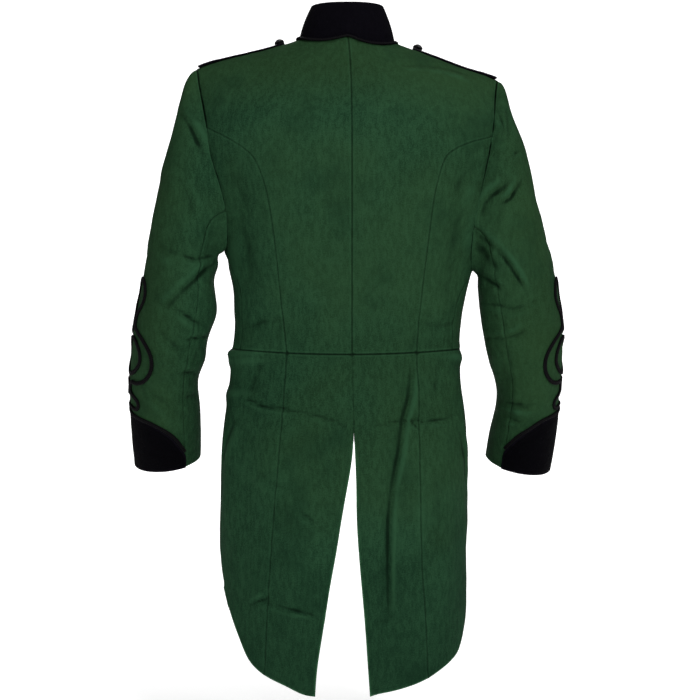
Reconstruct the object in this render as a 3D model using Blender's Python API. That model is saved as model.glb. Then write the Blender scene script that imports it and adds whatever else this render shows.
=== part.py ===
"""Drummer's jacket of cotton drill, worn on an unseen figure.

Metres, +Z up. The wearer faces -Y, so the back looks along +Y and the wearer's left
arm is at +X. The origin lies between the shoulders, level with the base of the neck,
where the jacket is held up.

The body is one smooth form: an oval at each height, read between the rows of
BODY_SECTIONS. A place on it is an angle round the body, from the centre back and plus
towards the wearer's left, and a height. Each panel is a four-sided piece of that form.
Neighbouring panels share the stitches along their seam, and each draws back from it by
half of SEAM_GAP.
"""

import bpy
import bmesh
from bisect import bisect_right
from collections import namedtuple
from math import asin, cos, degrees, exp, hypot, pi, radians, sin, sqrt
from mathutils import Matrix, Vector

CLOTH = 0.002
COLLAR_CLOTH = 0.003
STRAP_CLOTH = 0.003
CUFF_CLOTH = 0.0013
SEAM_GAP = 0.0004
LIFT = 0.0004

COLLAR_TOP_WIDTH = 0.77
COLLAR_TOP_DEPTH = 0.86
COLLAR_OPENING = 0.0015
COLLAR_TOP_HEIGHT = {0.0: (0.0525,), 70.0: (0.0535,), 105.0: (0.046,), 145.0: (0.006,), 180.0: (-0.014,)}
NECK_HALF_WIDTH = (0.0745, 0.0715)
NECK_HALF_DEPTH = 0.062

CENTRE_BACK_X = -0.006
CENTRE_BACK_HEIGHTS = (-0.225, -0.135, -0.075)
WAIST_HEIGHT = -0.4645
WAIST_DIP_BACK = 0.008
WAIST_DIP_FRONT = 0.012
FRONT_LAP = 0.0125
LAP_STEP = 0.0028
LAP_TOP_ROW = 0.009
PLACKET_WIDTH = 0.0175
FRONT_MIDDLE_HEIGHT = -0.330
FRONT_UPPER_HEIGHT = -0.140
SIDE_CROWDING = 1.35

LEFT, RIGHT = 0, 1
SIDES = ((LEFT, 1, "left"), (RIGHT, -1, "right"))

BACK_COLUMNS = 7
SIDE_BACK_COLUMNS = 6
FRONT_COLUMNS = 8
SKIRT_FRONT_COLUMNS = 7
SEAM_ROWS = 14
PRINCESS_BEND_ROWS = 5
SHOULDER_ROWS = 6
ARMHOLE_BACK_STEPS = 5
ARMHOLE_FRONT_STEPS = 13
TAIL_ROWS = 14
SLEEVE_ROWS = 17
CUFF_ROWS = 4

PINCH_POWER = 1.4
BACK_ROUNDS = 0
FRONT_ROUNDS = 12
TAIL_ROUNDS = 60

CORD_WIDTH = 0.0056
CORD_HEIGHT = 0.0034
PIPING_RADIUS = 0.0018
CUFF_CORD_WIDTH = 0.0046
CORD_SIDES = 6

BUTTON_RADIUS = 0.0078
BUTTON_HEIGHT = 0.0056
STRAP_BUTTON_RADIUS = 0.0075
STRAP_BUTTON_HEIGHT = 0.0078
STRAP_BUTTON_GAP = 0.0008
BUTTON_STEPS = 10
FRONT_BUTTONS = 7
FRONT_BUTTON_TOP = -0.098
FRONT_BUTTON_BOTTOM = -0.447

BODY_COLUMNS = ("left", "right", "back", "front", "square", "pinch")
BODY_SECTIONS = {
    0.012: (0.050, 0.047, 0.0565, 0.018, 2.0, 0.20),
    0.004: (0.0765, 0.0600, 0.0600, 0.024, 2.0, 0.30),
    0.000: (0.0895, 0.0690, 0.0620, 0.027, 2.0, 0.40),
    -0.007: (0.1120, 0.0865, 0.0655, 0.033, 2.0, 0.50),
    -0.0155: (0.1430, 0.1150, 0.0690, 0.038, 2.0, 0.54),
    -0.0246: (0.1830, 0.1390, 0.0735, 0.043, 2.0, 0.54),
    -0.040: (0.2290, 0.1780, 0.0800, 0.051, 2.0, 0.52),
    -0.058: (0.2325, 0.2270, 0.0880, 0.058, 2.1, 0.44),
    -0.080: (0.2325, 0.2295, 0.0965, 0.068, 2.2, 0.30),
    -0.105: (0.2300, 0.2310, 0.1065, 0.080, 2.3, 0.15),
    -0.135: (0.2275, 0.2335, 0.1150, 0.093, 2.4, 0.03),
    -0.170: (0.2265, 0.2275, 0.1208, 0.106, 2.4, 0.0),
    -0.210: (0.2130, 0.2255, 0.1215, 0.117, 2.4, 0.0),
    -0.250: (0.1990, 0.2120, 0.1192, 0.122, 2.4, 0.0),
    -0.290: (0.1900, 0.2020, 0.1160, 0.125, 2.4, 0.0),
    -0.335: (0.1830, 0.1915, 0.1105, 0.124, 2.4, 0.0),
    -0.390: (0.1755, 0.1800, 0.1020, 0.118, 2.4, 0.0),
    -0.430: (0.1745, 0.1735, 0.0970, 0.114, 2.35, 0.0),
    -0.4645: (0.1755, 0.1700, 0.0950, 0.112, 2.3, 0.0),
    -0.480: (0.1815, 0.1745, 0.0975, 0.114, 2.3, 0.0),
    -0.505: (0.1805, 0.1715, 0.1010, 0.116, 2.3, 0.0),
    -0.540: (0.1870, 0.1765, 0.1085, 0.118, 2.35, 0.0),
    -0.600: (0.1925, 0.1815, 0.1205, 0.120, 2.4, 0.0),
    -0.680: (0.1950, 0.1820, 0.1280, 0.120, 2.4, 0.0),
    -0.780: (0.1935, 0.1800, 0.1270, 0.118, 2.4, 0.0),
    -0.880: (0.1925, 0.1790, 0.1200, 0.112, 2.4, 0.0),
    -0.990: (0.1900, 0.1770, 0.1130, 0.105, 2.4, 0.0),
}

PRINCESS_BEND_FOOT = -0.190
PRINCESS_BEND = (0.150, -0.1665)
PRINCESS_COLUMNS = ("left", "right")
PRINCESS_SEAM = {
    -0.4725: (0.090, 0.101),
    -0.390: (0.099, 0.108),
    -0.320: (0.106, 0.1165),
    -0.245: (0.1165, 0.1255),
    -0.207: (0.126, 0.134),
    -0.178: (0.142, 0.147),
    -0.160: (0.162, 0.1655),
}

SIDE_SEAM_SWING = 6
SIDE_SEAM_ANGLE = {
    -0.4645: (66.0, 66.0),
    -0.425: (64.5, 64.5),
    -0.385: (64.5, 65.0),
    -0.350: (68.0, 71.0),
    -0.325: (75.0, 82.0),
}

TAIL_SEAM = {
    -0.4725: (0.090, 0.101),
    -0.510: (0.0925, 0.1025),
    -0.5457: (0.0950, 0.105),
    -0.620: (0.1010, 0.1050),
    -0.720: (0.1090, 0.1060),
    -0.800: (0.1150, 0.1090),
    -0.860: (0.1190, 0.1140),
    -0.960: (0.1230, 0.1180),
}

VENT_EDGE = {
    -0.4725: (-0.006, -0.006),
    -0.585: (-0.0085, -0.0085),
    -0.601: (-0.009, -0.009),
    -0.640: (-0.0040, -0.0115),
    -0.713: (0.0093, -0.0125),
    -0.7605: (0.0163, -0.0155),
    -0.796: (0.0233, -0.0185),
    -0.869: (0.0350, -0.0250),
    -0.952: (0.0470, -0.0305),
    -0.9705: (0.0475, -0.0320),
}

HEM_COLUMNS = ("left", "right")
HEM_HEIGHT = {
    0.0: (-0.9705, -0.9695),
    17.0: (-0.9700, -0.9655),
    29.0: (-0.9560, -0.9585),
    39.0: (-0.9435, -0.9500),
    49.0: (-0.9240, -0.9380),
    58.0: (-0.8870, -0.9270),
    66.0: (-0.8530, -0.9160),
    73.0: (-0.8200, -0.8990),
}
SKIRT_CORNER_ANGLE = (68.0, 71.0)

FRONT_EDGE = {
    69.5: (-0.8370, -0.9060),
    80.0: (-0.7960, -0.8640),
    92.0: (-0.7500, -0.8150),
    108.0: (-0.6930, -0.7450),
    125.0: (-0.6280, -0.6700),
    140.0: (-0.5680, -0.5980),
    152.0: (-0.5180, -0.5340),
    160.0: (-0.4760, -0.4760),
}

ARMHOLE_COLUMNS = ("top", "bottom", "back", "front", "lean")
ARMHOLES = (
    (-0.040, -0.315, 20.0, 31.0, 9.0),
    (-0.0575, -0.347, 20.0, 31.0, 9.0),
)
PRINCESS_TOP_HEIGHT = (-0.1345, -0.1475)

SLEEVE_COLUMNS = ("outer_x", "outer_z", "inner_x", "inner_z", "middle_y", "depth", "drop")
SLEEVES = (
    {
        0.00: (0.2300, -0.0380, 0.1836, -0.3150, 0.003, 0.055, 0.000),
        0.05: (0.2430, -0.0470, 0.1910, -0.3205, 0.004, 0.060, 0.000),
        0.14: (0.2570, -0.0960, 0.1965, -0.3260, 0.005, 0.065, 0.000),
        0.26: (0.2705, -0.1530, 0.1985, -0.3440, 0.008, 0.068, 0.000),
        0.38: (0.2870, -0.2180, 0.2020, -0.3650, 0.012, 0.068, -0.002),
        0.50: (0.3015, -0.3020, 0.1990, -0.3880, 0.015, 0.066, -0.003),
        0.61: (0.3150, -0.3900, 0.2010, -0.4250, 0.013, 0.063, 0.000),
        0.71: (0.3265, -0.4460, 0.2140, -0.4690, 0.003, 0.060, 0.006),
        0.81: (0.3325, -0.5050, 0.2250, -0.5110, -0.015, 0.057, 0.011),
        0.90: (0.3337, -0.5670, 0.2255, -0.5700, -0.038, 0.055, 0.014),
        1.00: (0.3300, -0.6400, 0.2285, -0.6300, -0.064, 0.054, 0.016),
    },
    {
        0.00: (0.2285, -0.0555, 0.1870, -0.3470, 0.003, 0.055, 0.000),
        0.05: (0.2390, -0.0630, 0.1945, -0.3530, 0.004, 0.060, 0.000),
        0.14: (0.2480, -0.1060, 0.1960, -0.3600, 0.005, 0.065, 0.000),
        0.26: (0.2690, -0.1600, 0.1955, -0.3740, 0.008, 0.068, 0.000),
        0.38: (0.2850, -0.2420, 0.1965, -0.3900, 0.012, 0.068, -0.002),
        0.50: (0.3050, -0.3200, 0.1975, -0.4050, 0.015, 0.066, -0.003),
        0.61: (0.3190, -0.3850, 0.2025, -0.4370, 0.013, 0.063, 0.000),
        0.71: (0.3260, -0.4450, 0.2110, -0.4730, 0.003, 0.060, 0.006),
        0.81: (0.3240, -0.5120, 0.2260, -0.5190, -0.015, 0.057, 0.011),
        0.90: (0.3215, -0.5760, 0.2200, -0.5660, -0.038, 0.055, 0.014),
        1.00: (0.3130, -0.6470, 0.2130, -0.6300, -0.064, 0.054, 0.016),
    },
)
CAP_SHARE = 0.24
UPPER_SLEEVE_FRONT_STEPS = 8
UPPER_SLEEVE_BACK_STEPS = 8

SLEEVE_FOLD_COLUMNS = ("side", "along", "around", "length", "width", "slant", "depth")
SLEEVE_FOLDS = (
    (LEFT, 0.665, 180.0, 0.034, 60.0, 0.000, 0.0065),
    (LEFT, 0.800, 180.0, 0.032, 65.0, 0.010, 0.0075),
    (LEFT, 0.560, 180.0, 0.032, 60.0, 0.000, -0.005),
    (LEFT, 0.735, 170.0, 0.030, 60.0, 0.010, -0.006),
    (LEFT, 0.470, 100.0, 0.040, 70.0, 0.110, 0.006),
    (LEFT, 0.200, 60.0, 0.050, 40.0, 0.100, 0.005),
    (RIGHT, 0.850, 180.0, 0.032, 65.0, -0.012, 0.0085),
    (RIGHT, 0.740, 180.0, 0.030, 60.0, -0.010, -0.003),
    (RIGHT, 0.620, 120.0, 0.040, 60.0, -0.060, 0.004),
    (RIGHT, 0.330, 100.0, 0.045, 60.0, 0.090, 0.006),
    (RIGHT, 0.160, 60.0, 0.040, 45.0, 0.050, 0.005),
)

BODY_FOLD_COLUMNS = ("face", "x0", "z0", "x1", "z1", "width", "depth")
BODY_FOLDS = (
    (1, -0.088, -0.500, -0.066, -0.640, 0.012, 0.0075),
    (1, -0.066, -0.640, -0.058, -0.850, 0.013, 0.0085),
    (1, 0.165, -0.540, 0.015, -0.572, 0.014, 0.0050),
    (1, -0.070, -0.570, -0.140, -0.572, 0.014, 0.0050),
    (1, 0.155, -0.850, 0.030, -0.868, 0.016, 0.0045),
    (1, 0.060, -0.620, 0.085, -0.900, 0.022, -0.0060),
    (1, -0.135, -0.600, -0.140, -0.900, 0.020, -0.0045),
    (1, 0.150, -0.500, 0.150, -0.800, 0.020, 0.0050),
    (1, 0.075, -0.110, 0.180, -0.200, 0.022, 0.0035),
    (1, -0.085, -0.120, -0.185, -0.215, 0.022, 0.0035),
    (1, 0.020, -0.425, 0.150, -0.440, 0.012, 0.0030),
    (1, -0.030, -0.430, -0.150, -0.430, 0.012, 0.0030),
    (-1, 0.160, -0.250, 0.060, -0.180, 0.020, 0.0040),
    (-1, -0.160, -0.270, -0.060, -0.190, 0.020, 0.0040),
    (-1, 0.150, -0.420, 0.040, -0.430, 0.014, 0.0035),
    (-1, -0.150, -0.420, -0.040, -0.430, 0.014, 0.0035),
    (-1, 0.150, -0.500, 0.165, -0.680, 0.020, 0.0050),
    (-1, -0.140, -0.500, -0.155, -0.700, 0.020, 0.0050),
)

CUFF_COLUMNS = ("left", "right")
CUFF_EDGE = {
    0.0: (0.8825, 0.8725),
    20.0: (0.8885, 0.8745),
    45.0: (0.8925, 0.8780),
    70.0: (0.8990, 0.8880),
    90.0: (0.9110, 0.9090),
    110.0: (0.9340, 0.9350),
    122.0: (0.9590, 0.9580),
    130.0: (0.9850, 0.9800),
}
CUFF_FOOT = 0.9985
CUFF_END = 128.0
CUFF_CORD_DROP = 0.0045
CUFF_SLOPE_STEP = radians(4.0)
SLEEVE_RUN = 0.62

KnotPoint = namedtuple("KnotPoint", "height sideways")
KNOT_HALF = (
    KnotPoint(-0.5450, 0.0042),
    KnotPoint(-0.5470, 0.0140),
    KnotPoint(-0.5460, 0.0240),
    KnotPoint(-0.5400, 0.0285),
    KnotPoint(-0.5330, 0.0250),
    KnotPoint(-0.5285, 0.0150),
    KnotPoint(-0.5240, 0.0060),
    KnotPoint(-0.5150, 0.0042),
    KnotPoint(-0.5085, 0.0090),
    KnotPoint(-0.5080, 0.0230),
    KnotPoint(-0.5030, 0.0390),
    KnotPoint(-0.4910, 0.0500),
    KnotPoint(-0.4760, 0.0530),
    KnotPoint(-0.4600, 0.0480),
    KnotPoint(-0.4450, 0.0340),
    KnotPoint(-0.4350, 0.0170),
    KnotPoint(-0.4280, 0.0060),
    KnotPoint(-0.4190, 0.0042),
    KnotPoint(-0.4100, 0.0060),
    KnotPoint(-0.3970, 0.0150),
    KnotPoint(-0.3820, 0.0190),
    KnotPoint(-0.3670, 0.0140),
    KnotPoint(-0.3590, 0.0040),
)
LEAF_HALF = (
    KnotPoint(-0.4965, 0.0050),
    KnotPoint(-0.4900, 0.0190),
    KnotPoint(-0.4770, 0.0290),
    KnotPoint(-0.4620, 0.0270),
    KnotPoint(-0.4490, 0.0150),
    KnotPoint(-0.4445, 0.0040),
)
KNOT_TURN = (0.018, 0.013)
KNOT_LIFT = 0.0011
SLEEVE_RADIUS = 0.0565

STRAP_END_GAP = 0.0035
STRAP_LIFT = (0.0028, 0.0013)
STRAP_INNER_X = (0.0960, 0.0975)
STRAP_BUTTON_X = (0.1025, 0.1040)
STRAP_BUTTON_Y = -0.0050
STRAP_EDGES = {
    # share from the sleeve head to the neck: back edge, front edge
    0.00: (0.0050, -0.0185),
    0.25: (0.0055, -0.0250),
    0.55: (0.0080, -0.0275),
    0.84: (0.0140, -0.0235),
    0.94: (0.0100, -0.0195),
    1.00: (0.0030, -0.0130),
}
STRAP_ROWS = 9
STRAP_COLUMNS = 4

GREEN_DRILL = (0.014, 0.047, 0.022, 1.0)
BLACK_DRILL = (0.0035, 0.0032, 0.0055, 1.0)
BLACK_CORD = (0.0030, 0.0026, 0.0040, 1.0)
BLACK_BUTTON = (0.004, 0.004, 0.005, 1.0)

Stitch = namedtuple("Stitch", "angle height outer inner")


def limited_slopes(places, values):
    """Slopes of a smooth curve through a column that never swings past its rows."""
    steps = []
    for index in range(len(places) - 1):
        rise = values[index + 1] - values[index]
        steps.append(rise / (places[index + 1] - places[index]))
    slopes = [steps[0]]
    for before, after in zip(steps, steps[1:]):
        if before * after <= 0.0:
            slopes.append(0.0)
        else:
            slopes.append(2.0 * before * after / (before + after))
    slopes.append(steps[-1])
    return slopes


class Rows:
    """A short table with named columns, read at any place between its rows."""

    def __init__(self, name, columns, table):
        self.places = sorted(table)
        self.row = namedtuple(name, columns)
        self.values = [[table[place][index] for place in self.places] for index in range(len(columns))]
        self.slopes = [limited_slopes(self.places, column) for column in self.values]

    def at(self, place):
        place = min(max(place, self.places[0]), self.places[-1])
        after = min(max(bisect_right(self.places, place), 1), len(self.places) - 1)
        start, end = self.places[after - 1], self.places[after]
        span = end - start
        t = (place - start) / span
        read = []
        for values, slopes in zip(self.values, self.slopes):
            read.append(
                values[after - 1] * (1 + 2 * t) * (1 - t) ** 2
                + values[after] * t * t * (3 - 2 * t)
                + slopes[after - 1] * span * t * (1 - t) ** 2
                - slopes[after] * span * t * t * (1 - t)
            )
        return self.row(*read)


BODY = Rows("BodyRow", BODY_COLUMNS, BODY_SECTIONS)
PRINCESS = Rows("PrincessRow", PRINCESS_COLUMNS, PRINCESS_SEAM)
SIDE_SEAM = Rows("SideSeamRow", PRINCESS_COLUMNS, SIDE_SEAM_ANGLE)
TAIL_LINE = Rows("TailSeamRow", PRINCESS_COLUMNS, TAIL_SEAM)
VENT = Rows("VentRow", PRINCESS_COLUMNS, VENT_EDGE)
HEM = Rows("HemRow", HEM_COLUMNS, HEM_HEIGHT)
SKIRT_FRONT = Rows("SkirtFrontRow", HEM_COLUMNS, FRONT_EDGE)
ARMHOLE = [namedtuple("Armhole", ARMHOLE_COLUMNS)(*row) for row in ARMHOLES]
SLEEVE = [Rows("SleeveRow", SLEEVE_COLUMNS, table) for table in SLEEVES]
SLEEVE_CREASES = [namedtuple("SleeveFold", SLEEVE_FOLD_COLUMNS)(*row) for row in SLEEVE_FOLDS]
BODY_CREASES = [namedtuple("BodyFold", BODY_FOLD_COLUMNS)(*row) for row in BODY_FOLDS]
CUFF = Rows("CuffRow", CUFF_COLUMNS, CUFF_EDGE)
STRAP_EDGE = Rows("StrapRow", ("back", "front"), STRAP_EDGES)
COLLAR_TOP = Rows("CollarRow", ("height",), COLLAR_TOP_HEIGHT)


def body_form(angle, height):
    """Point of the body's smooth form, without folds."""
    row = BODY.at(height)
    around = min(abs(sin(angle)), 1.0)
    half = row.left if sin(angle) >= 0.0 else row.right
    depth = row.back if cos(angle) >= 0.0 else -row.front
    reach = sqrt(max(0.0, 1.0 - around ** row.square))
    return Vector((half * sin(angle), depth * reach * (1.0 - row.pinch * around ** PINCH_POWER), height))


def body_normal(angle, height):
    """Outward direction of the smooth form."""
    step = 0.02
    rise = 0.002
    across = body_form(angle + step, height) - body_form(angle - step, height)
    up = body_form(angle, height + rise) - body_form(angle, height - rise)
    return up.cross(across).normalized()


def fold_push(place):
    """How far the folds move a point of the body outwards, minus for inwards."""
    push = 0.0
    for fold in BODY_CREASES:
        if place.y * fold.face <= 0.0:
            continue
        run = Vector((fold.x1 - fold.x0, fold.z1 - fold.z0))
        from_start = Vector((place.x - fold.x0, place.z - fold.z0))
        share = from_start.dot(run) / run.length_squared
        nearest = min(max(share, 0.0), 1.0)
        away = (from_start - run * nearest).length
        fade = sin(pi * (0.15 + 0.70 * nearest))
        push -= fold.depth * fade * exp(-((away / fold.width) ** 2))
    return push


def body_surface(angle, height):
    """Point of the jacket's outer face with its folds, and the direction out of it."""
    place = body_form(angle, height)
    out = body_normal(angle, height)
    return place + out * fold_push(place), out


def angle_at(x, height):
    """Angle of the place on the back at this sideways distance."""
    row = BODY.at(height)
    half = row.left if x >= 0.0 else row.right
    return asin(max(-1.0, min(1.0, x / half)))


def stitch(angle, height, inset=0.0):
    """A point of a panel's edge or field, with the point behind it on the cloth's inner face."""
    outer, out = body_surface(angle, height)
    outer = outer - out * inset
    return Stitch(angle, height, outer, outer - out * CLOTH)


def waist_height(angle):
    dip = WAIST_DIP_BACK if cos(angle) >= 0.0 else WAIST_DIP_FRONT
    return WAIST_HEIGHT - dip * cos(angle) ** 2


def armhole_angle(side, sign, around):
    """Angle and height of a place on the armhole, an oval that leans back at its foot."""
    hole = ARMHOLE[side]
    middle = (hole.top + hole.bottom) / 2
    half = (hole.top - hole.bottom) / 2
    foot = (1 - cos(around)) / 2
    reach = hole.back if sin(around) >= 0.0 else -hole.front
    swing = reach * abs(sin(around)) ** (0.6 + 0.4 * foot) + hole.lean * foot
    return sign * radians(90.0 - swing), middle + half * cos(around)


def sleeve_ring(side, sign, around, along):
    """Point of a sleeve's oval, before it is joined to the armhole."""
    row = SLEEVE[side].at(along)
    outer = Vector((row.outer_x, 0.0, row.outer_z))
    inner = Vector((row.inner_x, 0.0, row.inner_z))
    middle = (outer + inner) / 2 + Vector((0.0, row.middle_y, 0.0))
    half = (outer - inner) / 2
    back = Vector((0.0, row.depth, -row.drop))
    push = 0.0
    for fold in SLEEVE_CREASES:
        if fold.side != side:
            continue
        turn = (degrees(around) - fold.around + 180.0) % 360.0 - 180.0
        run = along - fold.along - fold.slant * turn / 90.0
        push -= fold.depth * exp(-((run / fold.length) ** 2) - (turn / fold.width) ** 2)
    ring = half * cos(around) + back * sin(around)
    place = middle + ring * (1.0 + push / ring.length)
    return Vector((place.x * sign, place.y, place.z))


def sleeve_surface(side, sign, around, along):
    """Point of a sleeve's outer face: it leaves the armhole and rounds into its own ovals."""
    ring = sleeve_ring(side, sign, around, along)
    if along >= CAP_SHARE:
        return ring
    seam = body_surface(*armhole_angle(side, sign, around))[0]
    away = seam - sleeve_ring(side, sign, around, 0.0)
    return ring + away * (1.0 - along / CAP_SHARE) ** 2


def sleeve_normal(side, sign, around, along):
    step = 0.03
    run = 0.01
    start = max(along - run, 0.0)
    end = min(along + run, 1.0)
    ahead = sleeve_surface(side, sign, around + step, along)
    across = ahead - sleeve_surface(side, sign, around - step, along)
    down = sleeve_surface(side, sign, around, end) - sleeve_surface(side, sign, around, start)
    return down.cross(across).normalized() * sign


def mitred(place, first, second, thickness):
    """Inner point of a seam where two cloths meet at an angle."""
    out = (first + second).normalized()
    return place - out * thickness / max(out.dot(first), 0.80)


def armhole_stitch(side, sign, around):
    angle, height = armhole_angle(side, sign, around)
    outer, out = body_surface(angle, height)
    inner = mitred(outer, out, sleeve_normal(side, sign, around, 0.0), CLOTH)
    return Stitch(angle, height, outer, inner)


def neck_place(turn):
    """Angle and height on the body form of the neck seam, turn running as the angle does."""
    half = NECK_HALF_WIDTH[LEFT if sin(turn) >= 0.0 else RIGHT]
    x = half * sin(turn)
    y = NECK_HALF_DEPTH * cos(turn)
    low, high = -0.09, 0.012
    for _ in range(40):
        height = (low + high) / 2
        row = BODY.at(height)
        width = row.left if x >= 0.0 else row.right
        around = abs(x) / width
        depth = 0.0
        if around < 1.0:
            pinch = 1.0 - row.pinch * around ** PINCH_POWER
            depth = (row.back if y >= 0.0 else row.front) * sqrt(1.0 - around ** row.square) * pinch
        if around >= 1.0 or depth < abs(y):
            high = height
        else:
            low = height
    row = BODY.at(low)
    width = row.left if x >= 0.0 else row.right
    angle = asin(max(-1.0, min(1.0, x / width)))
    if cos(turn) < 0.0:
        angle = (pi if turn >= 0.0 else -pi) - angle
    return angle, low


def collar_out(turn):
    """Level direction out of the collar."""
    return Vector((sin(turn) * NECK_HALF_DEPTH, cos(turn) * NECK_HALF_WIDTH[LEFT], 0.0)).normalized()


def neck_stitch(turn):
    angle, height = neck_place(turn)
    outer, out = body_surface(angle, height)
    return Stitch(angle, height, outer, mitred(outer, out, collar_out(turn), CLOTH))


def spread(start, end, count):
    """Evenly spaced values with both ends, one more than count."""
    return [start + (end - start) * index / count for index in range(count + 1)]


def nearest_on_form(place):
    """Angle and height of the point of the smooth form nearest to a place."""
    height = place.z
    low, high = 0.0, pi
    sign = 1.0 if place.x >= 0.0 else -1.0
    for _ in range(24):
        angle = (low + high) / 2
        here = body_form(sign * angle, height)
        if abs(here.x) * place.y - here.y * abs(place.x) < 0.0:
            low = angle
        else:
            high = angle
    angle = sign * (low + high) / 2
    turn, rise = 0.01, 0.001
    for _ in range(6):
        away = place - body_form(angle, height)
        across = (body_form(angle + turn, height) - body_form(angle - turn, height)) / (2 * turn)
        up = (body_form(angle, height + rise) - body_form(angle, height - rise)) / (2 * rise)
        aa, uu, au = across.length_squared, up.length_squared, across.dot(up)
        spread_out = aa * uu - au * au
        if spread_out < 1e-9:
            break
        by_angle = (away.dot(across) * uu - away.dot(up) * au) / spread_out
        by_height = (away.dot(up) * aa - away.dot(across) * au) / spread_out
        angle += max(-0.15, min(0.15, by_angle))
        height = min(height + max(-0.02, min(0.02, by_height)), 0.010)
    return angle, height


def evened(places, rounds):
    """The points inside a grid, each drawn to the middle of its four neighbours."""
    for _ in range(rounds):
        for j in range(1, len(places) - 1):
            for i in range(1, len(places[0]) - 1):
                beside = places[j][i - 1] + places[j][i + 1] + places[j - 1][i] + places[j + 1][i]
                places[j][i] = beside / 4
    return places


def fill(bottom, top, inner, outer, rounds, shares=None):
    """Grid of stitches of a four-sided panel; its rows run from the inner edge to the outer.

    The field starts as a Coons patch between the edges, is evened out and then laid onto
    the body's form. The shares say how far each column lies from the inner edge to the outer.
    """
    columns = len(bottom) - 1
    rows = len(inner) - 1
    shares = shares or spread(0.0, 1.0, columns)
    corner = (bottom[0].outer, bottom[-1].outer, top[0].outer, top[-1].outer)
    places = []
    for j, v in enumerate(spread(0.0, 1.0, rows)):
        line = []
        for i, u in enumerate(shares):
            place = inner[j].outer.lerp(outer[j].outer, u) + bottom[i].outer.lerp(top[i].outer, v)
            line.append(place - corner[0].lerp(corner[1], u).lerp(corner[2].lerp(corner[3], u), v))
        places.append(line)
    grid = [list(bottom)]
    for j, line in enumerate(evened(places, rounds)[1:-1]):
        field = [stitch(*nearest_on_form(place)) for place in line[1:-1]]
        grid.append([inner[j + 1]] + field + [outer[j + 1]])
    grid.append(list(top))
    return grid


def drawn_back(points):
    """A grid of points with each edge moved in from its seam by half of the seam gap."""
    rows = len(points)
    columns = len(points[0])
    moved = [[place.copy() for place in line] for line in points]
    edges = []
    for i in range(columns):
        before, after = max(i - 1, 0), min(i + 1, columns - 1)
        for row, beside in ((0, 1), (rows - 1, rows - 2)):
            edges.append(((row, i), (beside, i), (row, before), (row, after)))
    for j in range(rows):
        before, after = max(j - 1, 0), min(j + 1, rows - 1)
        for column, beside in ((0, 1), (columns - 1, columns - 2)):
            edges.append(((j, column), (j, beside), (before, column), (after, column)))
    for edge, beside, before, after in edges:
        inward = points[beside[0]][beside[1]] - points[edge[0]][edge[1]]
        run = (points[after[0]][after[1]] - points[before[0]][before[1]]).normalized()
        inward = inward - run * inward.dot(run)
        moved[edge[0]][edge[1]] += inward.normalized() * SEAM_GAP * 0.55
    return moved


def cloth(name, grid, material, part):
    """One closed piece of cloth from a grid of (outer, inner) points."""
    outer = drawn_back([[pair[0] for pair in line] for line in grid])
    inner = drawn_back([[pair[1] for pair in line] for line in grid])
    outer = [place for line in outer for place in line]
    inner = [place for line in inner for place in line]
    bm = bmesh.new()
    number = bm.verts.layers.int.new("number")
    made = bmesh.ops.create_grid(bm, x_segments=len(grid[0]) - 1, y_segments=len(grid) - 1, size=1.0)
    for index, vert in enumerate(made["verts"]):
        vert[number] = index
        vert.co = outer[index]
    back = bmesh.ops.extrude_face_region(bm, geom=bm.faces[:], use_keep_orig=True)
    for vert in back["geom"]:
        if isinstance(vert, bmesh.types.BMVert):
            vert.co = inner[vert[number]]
    bmesh.ops.recalc_face_normals(bm, faces=bm.faces)
    return finished(name, bm, material, part)


def finished(name, bm, material, part):
    mesh = bpy.data.meshes.new(name)
    bm.to_mesh(mesh)
    bm.free()
    mesh.materials.append(material)
    piece = bpy.data.objects.new(name, mesh)
    part.objects.link(piece)
    return piece


def pairs(grid):
    return [[(point.outer, point.inner) for point in line] for line in grid]


def ring_turns(side):
    """Turns round the armhole and sleeve, from the shoulder over the back to the shoulder again."""
    hole = ARMHOLE[side]
    middle = (hole.top + hole.bottom) / 2
    half = (hole.top - hole.bottom) / 2
    joint = pi / 2 - asin((PRINCESS_TOP_HEIGHT[side] - middle) / half)
    turns = spread(0.0, joint, ARMHOLE_BACK_STEPS)
    turns += spread(joint, pi, SIDE_BACK_COLUMNS)[1:]
    turns += spread(pi, 2 * pi, ARMHOLE_FRONT_STEPS)[1:]
    return turns


def princess_stitches(side, sign, top):
    """Back seam from the waist up, swinging out to the armhole."""
    low = waist_height(angle_at(PRINCESS.at(-0.4725)[side], -0.4725))
    top_x = abs(top.outer.x)
    line = []
    for height in spread(low, PRINCESS_BEND_FOOT, SEAM_ROWS - PRINCESS_BEND_ROWS):
        x = PRINCESS.at(height)[side]
        line.append(stitch(angle_at(sign * x, height), height))
    last = Vector((abs(line[-1].outer.x), line[-1].height))
    bend = Vector(PRINCESS_BEND)
    end = Vector((top_x, top.height))
    for t in spread(0.0, 1.0, PRINCESS_BEND_ROWS)[1:-1]:
        place = last * (1 - t) ** 2 + bend * 2 * t * (1 - t) + end * t * t
        line.append(stitch(angle_at(sign * place.x, place.y), place.y))
    line.append(top)
    return line


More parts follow.
